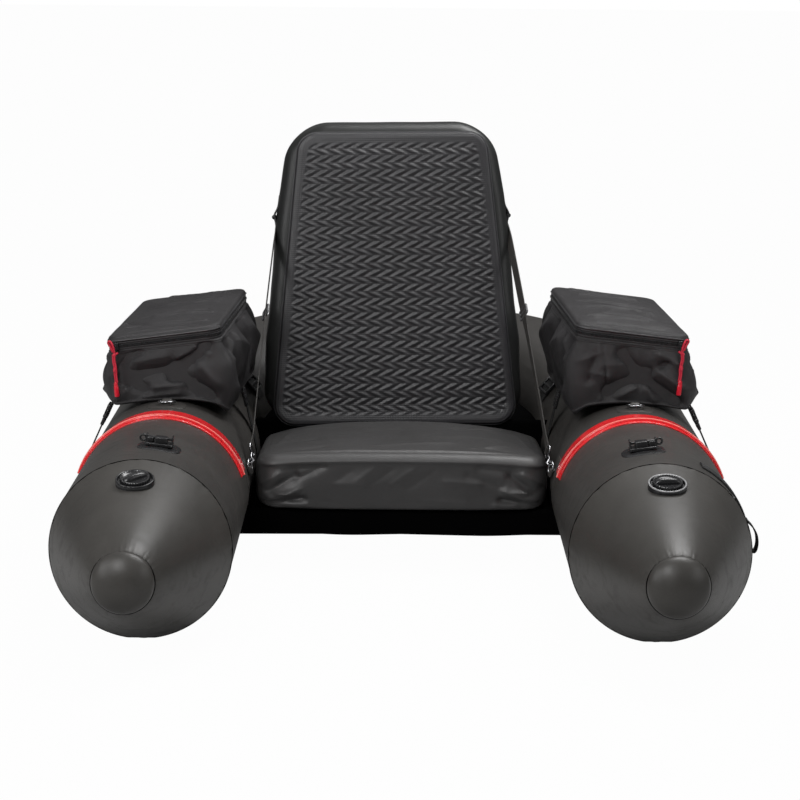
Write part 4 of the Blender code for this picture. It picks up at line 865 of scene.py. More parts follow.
base_profile = np.array([
    (0.5, 0.3), (11.8, 0.3), (12.0, 0.5), (12.0, 5.2), (12.3, 5.5), (18.7, 5.5), (19.0, 5.2),
    (19.0, 1.6), (19.5, 1.2), (24.6, 1.2), (25.2, 1.2), (27.3, 1.6), (27.9, 3.2), (28.2, 4.9),
    (29.0, 5.8), (30.1, 5.6), (30.9, 4.4), (31.2, 1.6), (31.0, -6.0), (0.5, -6.0)]) * mm
plunger_profile = np.array([
    (0.4, 5.8), (3.6, 5.8), (4.0, 5.7), (4.0, 5.4), (11.2, 5.3), (11.7, 5.1), (11.7, 4.8),
    (11.3, 4.6), (0.4, 4.6)]) * mm
cap_profile = np.array([
    (0.5, 6.6), (16.0, 6.6), (19.6, 7.6), (21.4, 9.6), (22.9, 9.9), (23.8, 9.0), (24.1, 6.0),
    (24.1, 3.4), (23.6, 2.6), (20.6, 2.4), (20.0, 2.8), (20.0, 6.0), (0.5, 6.0)]) * mm
rim_profile = (29.4 * mm, 5.4 * mm)
for name, side in sides.items():
    place = valve_place(side)
    body = make_piece(name + "_valve_base", [lathe(base_profile, place, 96)], black_plastic)
    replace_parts(body, name + "_valve_body")
    # The right rim is pale grey, a painted highlight; the left rim is the flange's own black.
    rim = lathe([rim_profile], place, 96)[0]
    make_piece(name + "_valve_rim", [wire(rim, 1.5 * mm, 10, closed=True)],
               painted_highlight_grey if side > 0 else black_plastic, loop=True)
    plunger = make_piece(name + "_plunger_disc", [lathe(plunger_profile, place, 48)],
                         black_rubber, body=name + "_plunger")
    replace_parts(plunger, name + "_valve_plunger")
    turned_cap = lathe(cap_profile, place, 180, knurl)
    turn_by = math.radians(38 if side < 0 else 4)
    spin = place @ np.array(Matrix.Rotation(turn_by, 4, "Z"))
    bar = grip_rings(spin, 43 * mm, 13 * mm, 6.2 * mm, 14.6 * mm)
    cap = make_piece(name + "_cap", [turned_cap, bar], black_plastic, body=name + "_cap",
                     sharp=35)
    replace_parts(cap, name + "_valve_cap")
print("valve at", np.round(valve_place(1)[:3, 3], 4))

# %% [markdown]
# ## Accessory clips
# Between the band and the seam sits a small moulded holder on a round glued patch. It is built of
# rounded blocks: a base, a raised saddle, a thin plate and a lug, with a round eye at one end.

# %% Patches and clips
def glued_patch(side, y, angle, half_y, half_round, thickness, power=2.6):
    """A rounded patch on the tube: |a| to the power plus |b| to the power stays below 1. Rings run
    round the tube, and the edge is rounded by thinning the last millimetre."""
    share = np.sin(np.linspace(-np.pi / 2, np.pi / 2, 41)) * 0.995
    half = half_y * (1 - np.abs(share) ** power) ** (1 / power)
    angles = angle + share * np.degrees(half_round / tube_radius)
    across = np.concatenate((np.linspace(-1, 1, 25), np.linspace(1, -1, 13)))
    lift = np.concatenate((touch_gap + thickness * (1 - np.abs(np.linspace(-1, 1, 25)) ** 14),
                           np.full(13, touch_gap * 0.6)))
    ends = (1 - np.abs(share) ** 24)[:, None]
    lift = np.where(lift > touch_gap, touch_gap + (lift - touch_gap) * ends, lift)
    return on_tube(side, y + half[:, None] * across, angles[:, None], lift)


clip_y, clip_angle = seam_y + 116 * mm, -8.0
clip_blocks = (((46, 29, 5), 1.4, 4, (0, 0, 2.7)), ((22, 21, 11), 2.0, 4, (-2, 0, 9.5)),
               ((3.2, 19, 17), 1.2, 1.5, (-20.5, -1, 9.5)), ((12, 17, 9), 2.0, 3, (16, 0, 9)),
               ((3.2, 14, 15), 1.2, 1.5, (22.4, 0, 9.5)))
clip_pin = np.stack((np.linspace(-20, 22, 12), np.zeros(12), np.full(12, 12.4)), -1) * mm
eye = stood_up(round_profile(4.9 * mm, 40), 10 * mm) + np.array([28.3, 2, 0]) * mm
for name, side in sides.items():
    patch = glued_patch(side, clip_y, clip_angle, 37 * mm, 37 * mm, 1.5 * mm)
    seat = on_tube(side, clip_y, clip_angle, 1.7 * mm)
    place = frame_at(seat, seat - tube_section(side, clip_y)[0], (side, 0, 0))
    solid = [patch] + blocks(clip_blocks, place) + [wire(placed(clip_pin, place), 2.4 * mm, 12)]
    clip = make_piece(name + "_clip", solid, black_plastic, sharp=45)
    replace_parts(clip, name + "_top_clip")
    make_piece(name + "_clip_eye", [wire(placed(eye, place), 1.7 * mm, 10, closed=True)],
               black_plastic, loop=True)
print("clip at", np.round(seat, 4))

# %% [markdown]
# ## Gear bags
# The real bags are sewn from black nylon over thin foam: a body whose floor arches over the tube,
# and a lid joined to it by a zip. Here a bag is one soft oblong. Its outline is sampled at equal
# steps, and every ring is that outline moved in or out along its own normals. Folds are valleys
# and ridges along short lines on a panel. The body is a cup with a wall, since the lid opens.

# %% Soft oblongs and folds
bag_size = (205 * mm, 420 * mm)
bag_middle_y, bag_inboard = 180 * mm, 25 * mm
bag_seam, bag_top, bag_wall = 110 * mm, 128 * mm, 2 * mm
bag_corner = 24 * mm
# how far aft the bag's rear end bears on the rising stern
bag_rear_y = 402 * mm


def soft_outline(width, length, corner, columns):
    """Points and outward normals of a round-cornered oblong, at equal steps of its girth."""
    return closed_line(rounded_outline(width, length, corner, 24), columns)


def folds(a, b, lines):
    """Sum of soft valleys or ridges: each line is (a0, b0, a1, b1, width, depth) in mm. Its depth
    falls off as a sharp-crested bell across the line, and fades towards both ends."""
    total = np.zeros(np.broadcast(a, b).shape)
    for a0, b0, a1, b1, width, depth in lines:
        run = np.array([a1 - a0, b1 - b0]) * mm
        span = np.hypot(*run)
        da, db = a - a0 * mm, b - b0 * mm
        along = (da * run[0] + db * run[1]) / span ** 2
        off = np.abs(da * run[1] - db * run[0]) / span / (width * mm)
        reach = np.clip(np.abs(along - 0.5) - 0.36, 0, None) * span / (width * mm)
        bell = np.exp(-(off ** 2) / (0.25 + 0.75 * off)) * np.exp(-reach ** 2)
        total += depth * mm * bell
    return total


def ripples(a, b, size, seed):
    """Gentle unevenness: a few sines at odd angles, between -1 and 1."""
    turns = np.random.default_rng(seed).uniform(0, 2 * np.pi, (5, 2))
    return sum(np.sin((a * np.cos(t) + b * np.sin(t)) * 2 * np.pi / size / (0.7 + 0.2 * k) + s)
               for k, (t, s) in enumerate(turns)) / 5


def bag_place(side):
    """Frame of a bag: on the pontoon's shoulder, leaning with it and climbing with the stern."""
    climb = stern_rise * float(smooth_step((bag_rear_y - bend_y) / bend_length))
    lean, toe = math.radians(5 * side), math.radians(3.6 * side)
    place = np.eye(4)
    place[:3, :3] = np.array(Euler((math.atan2(climb, bag_size[1]), lean, toe)).to_matrix())
    inboard = place[:3, :3] @ np.array([-side * bag_inboard, 0, 0])
    seat = on_tube(side, bag_middle_y, 5, touch_gap)
    place[:3, 3] = seat + inboard + np.array([0, 0, climb / 2])
    return place


def bag_floor(side, x):
    """The floor drops to both sides of its touch on the tube, as 0.4 of the tube's own fall."""
    drop = np.maximum(np.abs(x - side * bag_inboard) - 15 * mm, 0)
    return -0.4 * drop * drop / (2 * tube_radius)


bag_slump = {"left": (-1 * mm, 0.05, 0), "right": (-14 * mm, 0.034, 9 * mm)}


def slumped(points, side, name):
    """A full bag settles its own way: it shifts across, its inner side rises, and it fills up."""
    shift, rise, fill = bag_slump[name]
    x, y, z = (points[..., i] for i in range(3))
    high = smooth_step((z + 10 * mm) / bag_seam)
    return np.stack((x + side * shift * high, y, z + (fill - side * x * rise) * high), -1)


print("right bag's frame at", np.round(bag_place(1)[:3, 3], 4))

# %% [markdown]
# The outside of a body swells between floor and zip, most of all along its two long sides. Each
# front has creases of its own, and the long sides share theirs. Narrow furrows stand for the sewn
# rows below the zip and for the upright seam that joins two panels of the front.

# %% Bag bodies
front_folds = {
    "left": ((-86, 98, -16, 56, 11, -11), (-20, 58, 96, 50, 13, -6), (0, 46, -90, 10, 12, -9),
             (-64, 62, -92, 30, 9, 7), (-56, 88, -20, 76, 8, 5), (40, 96, 92, 66, 12, -5),
             (88, 52, 34, 20, 11, -6), (-6, 82, 60, 78, 10, 5), (-40, 30, 30, 26, 8, 6),
             (-84, 78, -50, 98, 6, 4), (72, 30, 96, 8, 8, 5), (-30, 14, 50, 8, 7, 4)),
    "right": ((14, 46, 92, 6, 9, -11), (16, 48, -24, 84, 11, -8), (20, 50, 70, 78, 10, -7),
              (12, 44, -60, 20, 10, -8), (40, 62, 94, 34, 11, 8), (-10, 66, -70, 60, 10, 2.5),
              (22, 30, 40, 4, 7, 6), (-84, 34, -64, 88, 6, -4), (44, 90, 88, 74, 8, 5),
              (-40, 44, -78, 52, 7, 4), (6, 30, -30, 12, 7, 5), (-96, 66, -60, 82, 7, 4)),
}
side_folds = ((-190, 96, -120, 36, 16, -8), (-120, 30, -40, 12, 14, -6),
              (-100, 84, -20, 60, 16, 7), (-10, 96, 40, 30, 14, -8), (60, 84, 150, 50, 18, 7),
              (150, 96, 190, 20, 16, -8), (-180, 30, -150, 8, 10, 6), (60, 20, 140, 8, 12, -5),
              (-170, 60, -140, 90, 9, 5))
columns = 300
line, out = soft_outline(*bag_size, bag_corner, columns)


def seam_rows(height, places, half, depth):
    """Sewn rows round the bag: narrow furrows at the given heights."""
    return -depth * sum(np.exp(-((height - p) / half) ** 2) for p in places)


def bag_body(side, name):
    """Rings of the cup: out over the floor, up the outside to the rim, and down inside."""
    share = np.concatenate((np.linspace(0, 0.05, 7), np.linspace(0.07, 0.84, 40),
                            np.linspace(0.86, 1.0, 26)))[:, None]
    x, y = line[:, 0][None], line[:, 1][None]
    nx, ny = out[:, 0][None], out[:, 1][None]
    height = bag_seam * share
    outer = np.clip(nx * side, 0, 1) ** 2
    inner = np.clip(-nx * side, 0, 1) ** 2
    front = np.clip(-ny, 0, 1) ** 2
    belly = np.sin(np.pi * np.clip(share / 0.93, 0, 1)) ** 0.75
    swell = belly * mm * (5 + 14 * outer + 17 * inner + 1 * front)
    held = smooth_step(share / 0.10) * (1 - smooth_step((share - 0.84) / 0.10))
    creased = folds(x * side, height, front_folds[name])
    swell = swell + held * front * np.where(creased > 0, 1.0, 1.9) * creased
    swell = swell + held * 1.4 * (inner + outer) * folds(y, height, side_folds)
    swell = swell + held * 1.4 * mm * ripples(x + y, height, 0.05, 3 + side)
    seam_x = -52 * mm - 8 * mm * (1 - share) ** 2 + 3 * mm * np.sin(5 * share)
    panel_seam = np.exp(-(((x * side - seam_x) / (1.5 * mm)) ** 2)) * front
    beside = np.exp(-(((x * side - seam_x + 4 * mm) / (3.0 * mm)) ** 2)) * front
    swell = swell + held * mm * (1.6 * beside - 3.4 * panel_seam)
    swell = swell + 1.4 * mm * smooth_step((height - 96 * mm) / (2 * mm))
    swell = swell + seam_rows(height, (98.5 * mm, 103 * mm, 107 * mm), 0.8 * mm, 1.1 * mm)
    swell = swell + 1.8 * mm * np.exp(-((height - 3.0 * mm) / (1.8 * mm)) ** 2)
    sag = inner * np.clip(1 - share * 2.2, 0, 1) * 16 * mm
    up = bag_floor(side, x) * (1 - share) + height - sag
    outside = np.stack((x + nx * swell, y + ny * swell, up + 0 * x), -1)
    shrink = np.array([0.12, 0.4, 0.7, 0.92])[:, None]
    under = np.stack((x * shrink, y * shrink, bag_floor(side, x * shrink)), -1)
    inside_share = np.linspace(1.0, 0.03, 12)[:, None]
    inside = np.stack((x - nx * bag_wall + 0 * inside_share, y - ny * bag_wall + 0 * inside_share,
                       bag_seam * inside_share + bag_floor(side, x) * (1 - inside_share)), -1)
    well = under[::-1] + np.array([0, 0, 3.0 * mm])
    return np.concatenate((under, outside, inside, well * (0.97, 0.985, 1)))


for name, side in sides.items():
    rings = placed(slumped(bag_body(side, name), side, name), bag_place(side))
    piece = make_piece(name + "_bag", [rings], bag_cloth, sharp=70)
    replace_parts(piece, name + "_bag_body")
print("bag rings", rings.shape)

# %% [markdown]
# The lid is the same outline with a short skirt of zip tape, a piped edge and a slightly crowned
# top that sags in creases parallel to the front edge. It rides on the lid body, which turns on its
# outer long edge.

# %% Bag lids
lid_creases = {
    "left": ((-90, -186, 90, -180, 4, -2.2), (-96, -160, 70, -150, 5, 2.0),
             (-60, -122, 96, -128, 5, -2.4), (-96, -80, 60, -66, 6, 2.4),
             (-80, -20, 96, -36, 7, -2.6), (-90, 44, 90, 60, 9, 2.4), (-80, 120, 70, 104, 9, -2.6),
             (20, -150, 96, -60, 9, -2.5), (-90, 150, 60, 180, 9, 2.5)),
    "right": ((-90, -188, 84, -182, 4, 2.0), (-80, -160, 96, -168, 5, -2.2),
              (-96, -126, 60, -114, 5, 2.2), (-60, -76, 96, -90, 6, -2.4),
              (-96, -30, 84, -16, 7, 2.4), (-90, 54, 90, 44, 9, -2.6), (-80, 110, 70, 126, 9, 2.4),
              (96, -120, 10, 60, 10, -3.0), (60, 150, -90, 176, 9, 2.5)),
}


def bag_lid(side, name):
    """Rings from the middle of the underside out to the rim, up the skirt, and in over the top."""
    x, y = line[:, 0][None], line[:, 1][None]
    nx, ny = out[:, 0][None], out[:, 1][None]
    low, radius = bag_seam + touch_gap, 8.0 * mm
    skirt = np.linspace(0, 1, 22)[:, None] * (bag_top - radius - low)
    turn = np.linspace(0, np.pi / 2, 8)[1:, None]
    bulge = mm * (0.8 + 1.0 * ripples(x + 0.3 * y, y, 0.11, 8 + side))
    proud = 1.3 * mm + 0.6 * bulge * skirt / (12 * mm)
    proud = proud + seam_rows(skirt, (2.6 * mm, 6.6 * mm), 0.8 * mm, 1.2 * mm)
    proud = proud + 1.2 * mm * np.exp(-((skirt - 9.2 * mm) / (1.2 * mm)) ** 2)
    outside = np.stack((x + nx * proud, y + ny * proud, low + skirt + 0 * x), -1)
    inset = radius * (1 - np.cos(turn)) - 0.6 * bulge - 1.2 * mm
    corner = np.stack((x - nx * inset, y - ny * inset,
                       bag_top - radius + radius * np.sin(turn) + 0 * x), -1)
    edge = corner[-1:]
    shrink = np.linspace(1, 0.02, 70)[1:, None, None]
    top = edge * np.array([1, 1, 0]) * shrink + edge * np.array([0, 0, 1])
    away = 1 - np.maximum(np.abs(top[..., 0]) / (bag_size[0] / 2),
                          np.abs(top[..., 1]) / (bag_size[1] / 2))
    crown = 6 * mm * smooth_step(away / 0.85)
    loose = smooth_step(away / 0.10)
    crown += 2.1 * loose * folds(top[..., 0] * side, top[..., 1], lid_creases[name])
    crown += loose * 1.2 * mm * ripples(top[..., 0], top[..., 1], 0.07, 11 + side)
    top[..., 2] += crown
    under = top[::-5] - np.array([0, 0, bag_wall])
    walls = np.stack((x - nx * bag_wall + 0 * skirt[::-5], y - ny * bag_wall + 0 * skirt[::-5],
                      low + skirt[::-5] + 0 * x), -1)
    return np.concatenate((under * (0.98, 0.99, 1), walls, outside, corner, top))


def bag_edge(side, name, reach, height):
    """The bag's outline as a path at one height, pushed out by reach."""
    ring = np.concatenate((line + out * reach, np.full((columns, 1), height)), 1)
    return placed(slumped(ring, side, name), bag_place(side))


piping_height = 119.6 * mm
for name, side in sides.items():
    rings = placed(slumped(bag_lid(side, name), side, name), bag_place(side))
    piece = make_piece(name + "_lid", [rings], bag_cloth, body=name + "_lid",
                       sharp=70)
    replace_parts(piece, name + "_bag_lid")
    cord = wire(bag_edge(side, name, 2.0 * mm, piping_height), 1.2 * mm, 8, (0, 0, 1), True)
    make_piece(name + "_lid_piping", [cord], piping_cloth, body=name + "_lid",
               loop=True)
    for part, height, owner in (("upper", 111.2, name + "_lid"), ("lower", 109.0, "hull")):
        coil = wire(bag_edge(side, name, 1.9 * mm, height * mm), 0.95 * mm, 6, (0, 0, 1), True)
        make_piece(name + "_zip_coil_" + part, [coil], black_plastic, body=owner,
                   loop=True)
print("lid rings", rings.shape)

# %% [markdown]
# ## Seat
# The cushion is an inflated box of coated cloth that lies on the sheet between the pontoons. Its
# top is crowned from side to side, most of all at the back, its sides draw in between the corners,
# and the air pulls wrinkles out of the lower front corners. The rings run up from the middle of
# the floor, round the sides and in over the top.

# %% Cushion
cushion_size = (520 * mm, 346 * mm, 101 * mm)
cushion_middle = (2 * mm, 92 * mm, 112 * mm)
cushion_lines = (
    (-248, 10, -168, 26, 6, -9), (-246, 16, -176, 44, 6, 7), (-246, 30, -186, 70, 8, -8),
    (-214, 12, -160, 12, 4, 6), (-226, 30, -196, 34, 4, 6), (-250, 44, -214, 72, 6, 4),
    (248, 10, 170, 26, 6, -9), (246, 16, 178, 42, 6, 7), (246, 30, 190, 70, 8, -8),
    (216, 12, 158, 12, 4, 6), (228, 34, 198, 38, 4, 5), (250, 50, 214, 72, 6, 4),
    (-86, 74, -130, 46, 7, -1.4), (-46, 78, -86, 50, 6, 1.5), (-10, 78, -64, 42, 6, -1.6),
    (28, 78, -24, 44, 6, 1.6), (-150, 74, -196, 56, 7, -4), (66, 76, 6, 38, 7, -1.5),
    (110, 66, 190, 44, 9, -3.0), (20, 24, 130, 16, 9, 2.4), (-216, 74, -130, 78, 6, -4.2),
    (130, 78, 214, 72, 8, -3.2), (-150, 20, -60, 12, 7, -2.6), (70, 54, 150, 50, 8, 2.4),
    (-130, 50, -60, 46, 9, 2.0), (-20, 12, 40, 20, 7, -2.2))
cushion_top_lines = (
    (-236, -150, -130, -116, 10, -3.5), (236, -150, 130, -118, 10, -3.5),
    (-200, 140, -60, 90, 14, 3), (-60, -130, 110, -100, 10, 2.2), (200, 120, 90, 60, 14, -3),
    (-160, -20, 20, 30, 16, -2.4), (40, -60, 190, -20, 14, 2.4), (-240, -60, -150, -40, 11, -3),
    (-236, -120, -210, 90, 8, 3.0), (236, -110, 214, 90, 8, 3.0), (120, -140, 200, -90, 8, 3))
cushion_columns = 360


def cushion_rings():
    """Floor, sides and crown of the cushion, with its wrinkles along the normals."""
    wide, deep, tall = cushion_size
    points, normals = soft_outline(wide, deep, 34 * mm, cushion_columns)
    x, y = points[:, 0][None], points[:, 1][None]
    nx, ny = normals[:, 0][None], normals[:, 1][None]
    u, v = x / (wide / 2), y / (deep / 2)
    front = np.clip(-ny, 0, 1) ** 2
    ends = nx ** 2
    low, high = 17 * mm, 15 * mm
    turn = np.linspace(0, np.pi / 2, 9)[:, None]
    wall = np.linspace(low, tall - high, 34)[1:-1, None]
    heights = np.concatenate((low * (1 - np.cos(turn)), wall, tall - high * (1 - np.sin(turn))))
    inset = np.concatenate((low * (1 - np.sin(turn)), 0 * wall, high * (1 - np.cos(turn))))
    share = heights / tall
    drawn = np.abs(nx) * (1 - v ** 2) + np.abs(ny) * (1 - u ** 2)
    drawn = 9 * mm * np.sin(np.pi * share) * drawn
    belly = 9 * mm * np.sin(np.pi * share) ** 0.8 * (0.7 + 0.3 * front)
    off = belly - 0.35 * drawn - inset + front * 9 * mm * (1 - share)
    edge_line = 86 * mm - 2 * mm * np.abs(u) ** 3
    under = smooth_step((edge_line - heights) / (3 * mm)) * smooth_step(heights / (30 * mm))
    off = off + front * (np.sin(np.pi * np.clip(share, 0, 1)) ** 0.4
                         * folds(x, heights, cushion_lines) - 2.6 * mm * under)
    rim = np.exp(-((heights - edge_line) / (5.5 * mm)) ** 2)
    off = off + 1.6 * mm * rim * (front + 0.6 * ends)
    off = off + np.sin(np.pi * share) * 1.0 * mm * ripples(x + y, heights, 0.06, 21)
    back = 0.5 + 0.5 * v
    fall = 7 * back ** 2 + np.abs(u) ** 2.6 * (6 + 18 * back ** 1.5)
    fall = smooth_step(share * 1.2) * mm * fall
    fall = fall + 9 * mm * front * (1 - inset / low) * (1 - share) ** 2 * (1 - u ** 4)
    outside = np.stack((x + nx * off, y + ny * off, heights - fall), -1)
    edge = outside[-1:]
    shrink = np.linspace(1, 0.015, 80)[1:, None, None]
    level, upward = np.array([1, 1, 0]), np.array([0, 0, 1])
    ease = shrink ** 2.2
    top = edge * level * shrink + (edge * upward * ease
                                   + upward * (tall - 2 * mm) * (1 - ease))
    a, b = top[..., 0] / (wide / 2), top[..., 1] / (deep / 2)
    crown = 10 * mm * (1 - a ** 2) * (1 - b ** 4)
    loose = (1 - a ** 6) * (1 - b ** 6)
    crown += loose * folds(top[..., 0], top[..., 1], cushion_top_lines)
    crown += loose * 1.2 * mm * ripples(top[..., 0], top[..., 1], 0.11, 5)
    top[..., 2] += crown
    floor = outside[:1] * level * np.array([0.02, 0.5, 0.9])[:, None, None]
    return np.concatenate((floor, outside, top)) + np.array(cushion_middle)


cushion = make_piece("seat_pad", [cushion_rings()], seat_cloth, sharp=80)
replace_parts(cushion, "seat_cushion")
print("cushion", len(cushion.data.polygons), "faces")

# %% [markdown]
# ## Sheets under and behind the seat
# One strong sheet is glued between the pontoons below the cushion, with a flap that hangs at the
# front and ends in a hem. A second one runs up behind the cushion, over the hinge line and back to
# the stern. Each is a ribbon of rings: the outline gives how far fore, aft and up the sheet runs,
# and the distance to the tube's axis gives how wide it is there.

# %% Seat sheet and rear deck
def tube_half_width(y, z):
    """Half the free width between the tubes at each place: the nearest x at which the distance to
    the axis of the hull falls below the tube's radius."""
    turn = np.linspace(0, np.pi / 2, 160)
    line_y = np.linspace(seam_y, bend_y, 80)[:-1]
    straight = np.stack((np.full(79, half_spacing), line_y, np.full(79, axis_height)), -1)
    axis = np.concatenate((straight, bend_place(turn)))
    x = np.linspace(0, half_spacing, 400)
    place = np.stack(np.broadcast_arrays(x[None], y[:, None], z[:, None]), -1)
    near = np.full(place.shape[:2], np.inf)
    for k in range(0, len(axis), 40):
        part = axis[k:k + 40]
        near = np.minimum(near, np.linalg.norm(place[:, :, None] - part, axis=3).min(2))
    free = near > tube_radius + touch_gap
    return x[np.argmin(np.cumprod(free, 1), 1)] - 0.5 * mm


def sheet_rings(outline, thickness, count, waves=0.0, seed=1):
    """Rings of a sheet that follows an outline of (y, z) places between the tubes. waves is the
    height in mm of its unevenness, which dies out towards both glued edges."""
    path = flow(outline, count)
    half = tube_half_width(path[:, 0], path[:, 1])
    along = unit(np.gradient(path, axis=0))
    across = np.linspace(-1, 1, 121)
    ring = np.concatenate((across, across[::-1]))
    lift = np.concatenate((np.zeros(121), np.full(121, -thickness)))
    x = half[:, None] * ring
    ease = (1 - np.abs(ring) ** 8) * waves * mm
    wave = ease * ripples(x, path[:, :1] + 0.6 * path[:, 1:], 0.19, seed)
    y = path[:, :1] - along[:, 1:] * (lift + wave)
    z = path[:, 1:] + along[:, :1] * (lift + wave)
    return np.stack((x, y, z), -1)


level = 111.6
flap = [(268, level), (200, level), (100, level), (0, level), (-60, level), (-73, 110.6),
        (-77.4, 106), (-78, 100), (-78, 90), (-78.3, 80), (-78.2, 72), (-78, 63)]
# the path runs forward, so the thickness is laid on its other side
rings = sheet_rings(np.array(flap) * mm, -3 * mm, 110, 1.0, 4)
hem = sheet_rings(np.array([(-75.2, 71), (-75.2, 67), (-75.2, 63.4)]) * mm, -4 * mm, 9)
for grid in (rings, hem):
    foot = smooth_step((80 * mm - grid[..., 2]) / (18 * mm))
    grid[..., 2] += foot * 1.6 * mm * np.sin(grid[..., 0] / (38 * mm) + 0.8)
y = np.linspace(-77, 260, 40) * mm
angles = np.concatenate((np.linspace(-91, -121.5, 16), np.linspace(-121.5, -91, 16)))
lift = np.concatenate((np.full(16, 2.6 * mm), np.full(16, touch_gap)))
tabs = [on_tube(side, y[:, None], angles, lift) for side in sides.values()]
# The sheet, its hem and its edging tabs are black cloth darkened further as painted shade under the
# cushion.
sheet = make_piece("seat_sheet", [rings], painted_shade_black)
edging = make_piece("seat_sheet_edging", [hem] + tabs, painted_shade_black)
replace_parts(sheet, "seat_base_sheet")
deck_outline = np.array([(274, 113), (274, 150), (274, 196), (274.8, 205), (277.5, 208.8),
                         (282, 208), (300, 200.5), (330, 191.4), (346, 189.2), (366, 192),
                         (430, 212), (500, 235), (586, 261.4)]) * mm
deck_rings = sheet_rings(deck_outline, 2.6 * mm, 120, 1.5, 9)
# The deck is black cloth darkened further as painted shade behind the cushion.
deck = make_piece("stern_deck", [deck_rings], painted_shade_black)
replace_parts(deck, "rear_deck")

# %% [markdown]
# ## Backrest
# The backrest is a flat inflated slab in a tapered outline, with a moulded foam pad glued to its
# front. The slab is a stack of that outline, drawn in along a quarter circle at both faces. It
# leans back by 8 degrees on the hinge roll. Held only by two straps, it also hangs a touch to one
# side.

# %% Backrest slab
hinge_place = (0, 268 * mm, 215 * mm)
back_lean = 8
back_place = np.eye(4)
back_place[:3, :3] = np.array(Matrix.Rotation(math.radians(-back_lean), 3, "X"))
back_place[:3, 3] = hinge_place
back_sides = np.array([(0, 250), (150, 245.5), (220, 236.7), (280, 231.2), (360, 225.8),
                       (430, 217.2), (480, 209.5), (530, 200.5), (572, 192)]) * mm
back_shift, back_tilt, back_skew = -11 * mm, math.radians(0.9), 0.09


def hung(points):
    """Places of the backrest's own frame, shifted across, tilted, and skewed with the depth."""
    x, y, z = (points[..., i] for i in range(3))
    share = smooth_step((z + 10 * mm) / (60 * mm))
    moved = np.stack((x + back_shift - z * math.sin(back_tilt) - back_skew * y * share, y,
                      z + x * math.sin(back_tilt)), -1)
    return placed(moved, back_place)


def back_half(height):
    """Half width of the slab at a height above the hinge."""
    return np.interp(height, back_sides[:, 0], back_sides[:, 1])


def pad_half(height):
    """Half width of the pad: a plain taper."""
    return 236.7 * mm - 0.1 * np.asarray(height)


def tapered_outline(half, foot, top, corners, columns):
    """Points (x, height) of a tapered outline with round corners, and outward normals."""
    turn = np.linspace(0, np.pi / 2, 24)
    low = foot + corners[0] * (1 - np.cos(turn))
    high = top - corners[1] * (1 - np.sin(turn))
    middle = np.linspace(foot + corners[0], top - corners[1], 40)[1:-1]
    right = np.concatenate((
        np.stack((half(low) - corners[0] * (1 - np.sin(turn)), low), -1),
        np.stack((half(middle), middle), -1),
        np.stack((half(high) - corners[1] * (1 - np.cos(turn)), high), -1)))
    return closed_line(np.concatenate((right, right[::-1] * (-1, 1))), columns)


def slab_rings():
    """Front face, round edge and back face of the slab."""
    points, normals = tapered_outline(back_half, -3 * mm, 571 * mm, (52 * mm, 70 * mm), 260)
    front, back, edge = 12.3 * mm, 90.3 * mm, 26 * mm
    turn = np.linspace(0, np.pi / 2, 9)
    inset = np.concatenate((edge * (1 - np.sin(turn)), edge * (1 - np.cos(turn))))
    depth = np.concatenate((front + edge * (1 - np.cos(turn)), back - edge * (1 - np.sin(turn))))
    swell = 2.0 * mm * np.sin(np.pi * (depth - front) / (back - front))
    flat = points[None] - normals[None] * (inset - swell)[:, None, None]
    wave = 0.8 * mm * ripples(points[:, 0], points[:, 1], 0.12, 31)
    flat = flat + normals[None] * wave[None, :, None]
    walls = np.stack((flat[..., 0], depth[:, None] + 0 * flat[..., 0], flat[..., 1]), -1)
    shrink = np.array([0.03, 0.3, 0.6, 0.85])[:, None, None]
    centre = np.array([0, 0, 284 * mm])
    flat_out, deep = np.array([1, 0, 1]), np.array([0, 1, 0])
    face = (walls[:1] - centre) * flat_out * shrink + centre + walls[:1] * deep
    rear = (walls[-1:] - centre) * flat_out * shrink[::-1] + centre + walls[-1:] * deep
    return hung(np.concatenate((face, walls, rear)))


steps = np.linspace(-200, 200, 30) * mm
hinge_line = np.stack((steps, 0 * steps + 6 * mm, 0 * steps), -1)
roll = wire(placed(hinge_line, back_place), 4.5 * mm, 16)
web = block((395 * mm, 24 * mm, 5 * mm), 1 * mm, 2 * mm, back_place, (0, 16 * mm, 1.5 * mm))
slab = make_piece("back_slab", [slab_rings(), roll, web], back_cloth, body="backrest")
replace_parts(slab, "backrest_body")
print("backrest leans", back_lean, "degrees")

# %% [markdown]
# The pad is moulded: a herringbone relief stands up inside a smooth border. The border follows the
# outline, so the mask is a distance to the outline. The relief is a row of ridges whose place moves
# one way in one half row and back in the next, which makes the zigzag.

# %% Moulded pad
pad_foot, pad_top, pad_corners = -16 * mm, 551 * mm, (45 * mm, 36 * mm)
zigzag_rise, ridge_spacing = 13.8 * mm, 24.8 * mm
ridge_height = 2.9 * mm
# below this height the pad's lower corner radius holds, and above it the upper one
corner_split = 270 * mm


def pad_edge(x, height):
    """Distance of a place on the pad to the pad's outline."""
    sideways = pad_half(height) - np.abs(x)
    upright = np.minimum(height - pad_foot, pad_top - height)
    corner = np.where(height < corner_split, pad_corners[0], pad_corners[1])
    in_corner = (sideways < corner) & (upright < corner)
    round_off = corner - np.hypot(corner - sideways, corner - upright)
    return np.where(in_corner, round_off, np.minimum(sideways, upright))


def herringbone(x, height):
    """Ridge height from 0 to 1: rounded strokes that lean one way and then the other, a little
    broken up along their length."""
    row = (height + 4 * mm) / zigzag_rise
    lean = np.abs(np.mod(row, 2.0) - 1.0)
    stroke = 0.5 + 0.5 * np.cos(2 * np.pi * (x / ridge_spacing + lean))
    waist = 0.82 + 0.18 * np.cos(2 * np.pi * (row - 0.5))
    return stroke ** 0.9 * waist


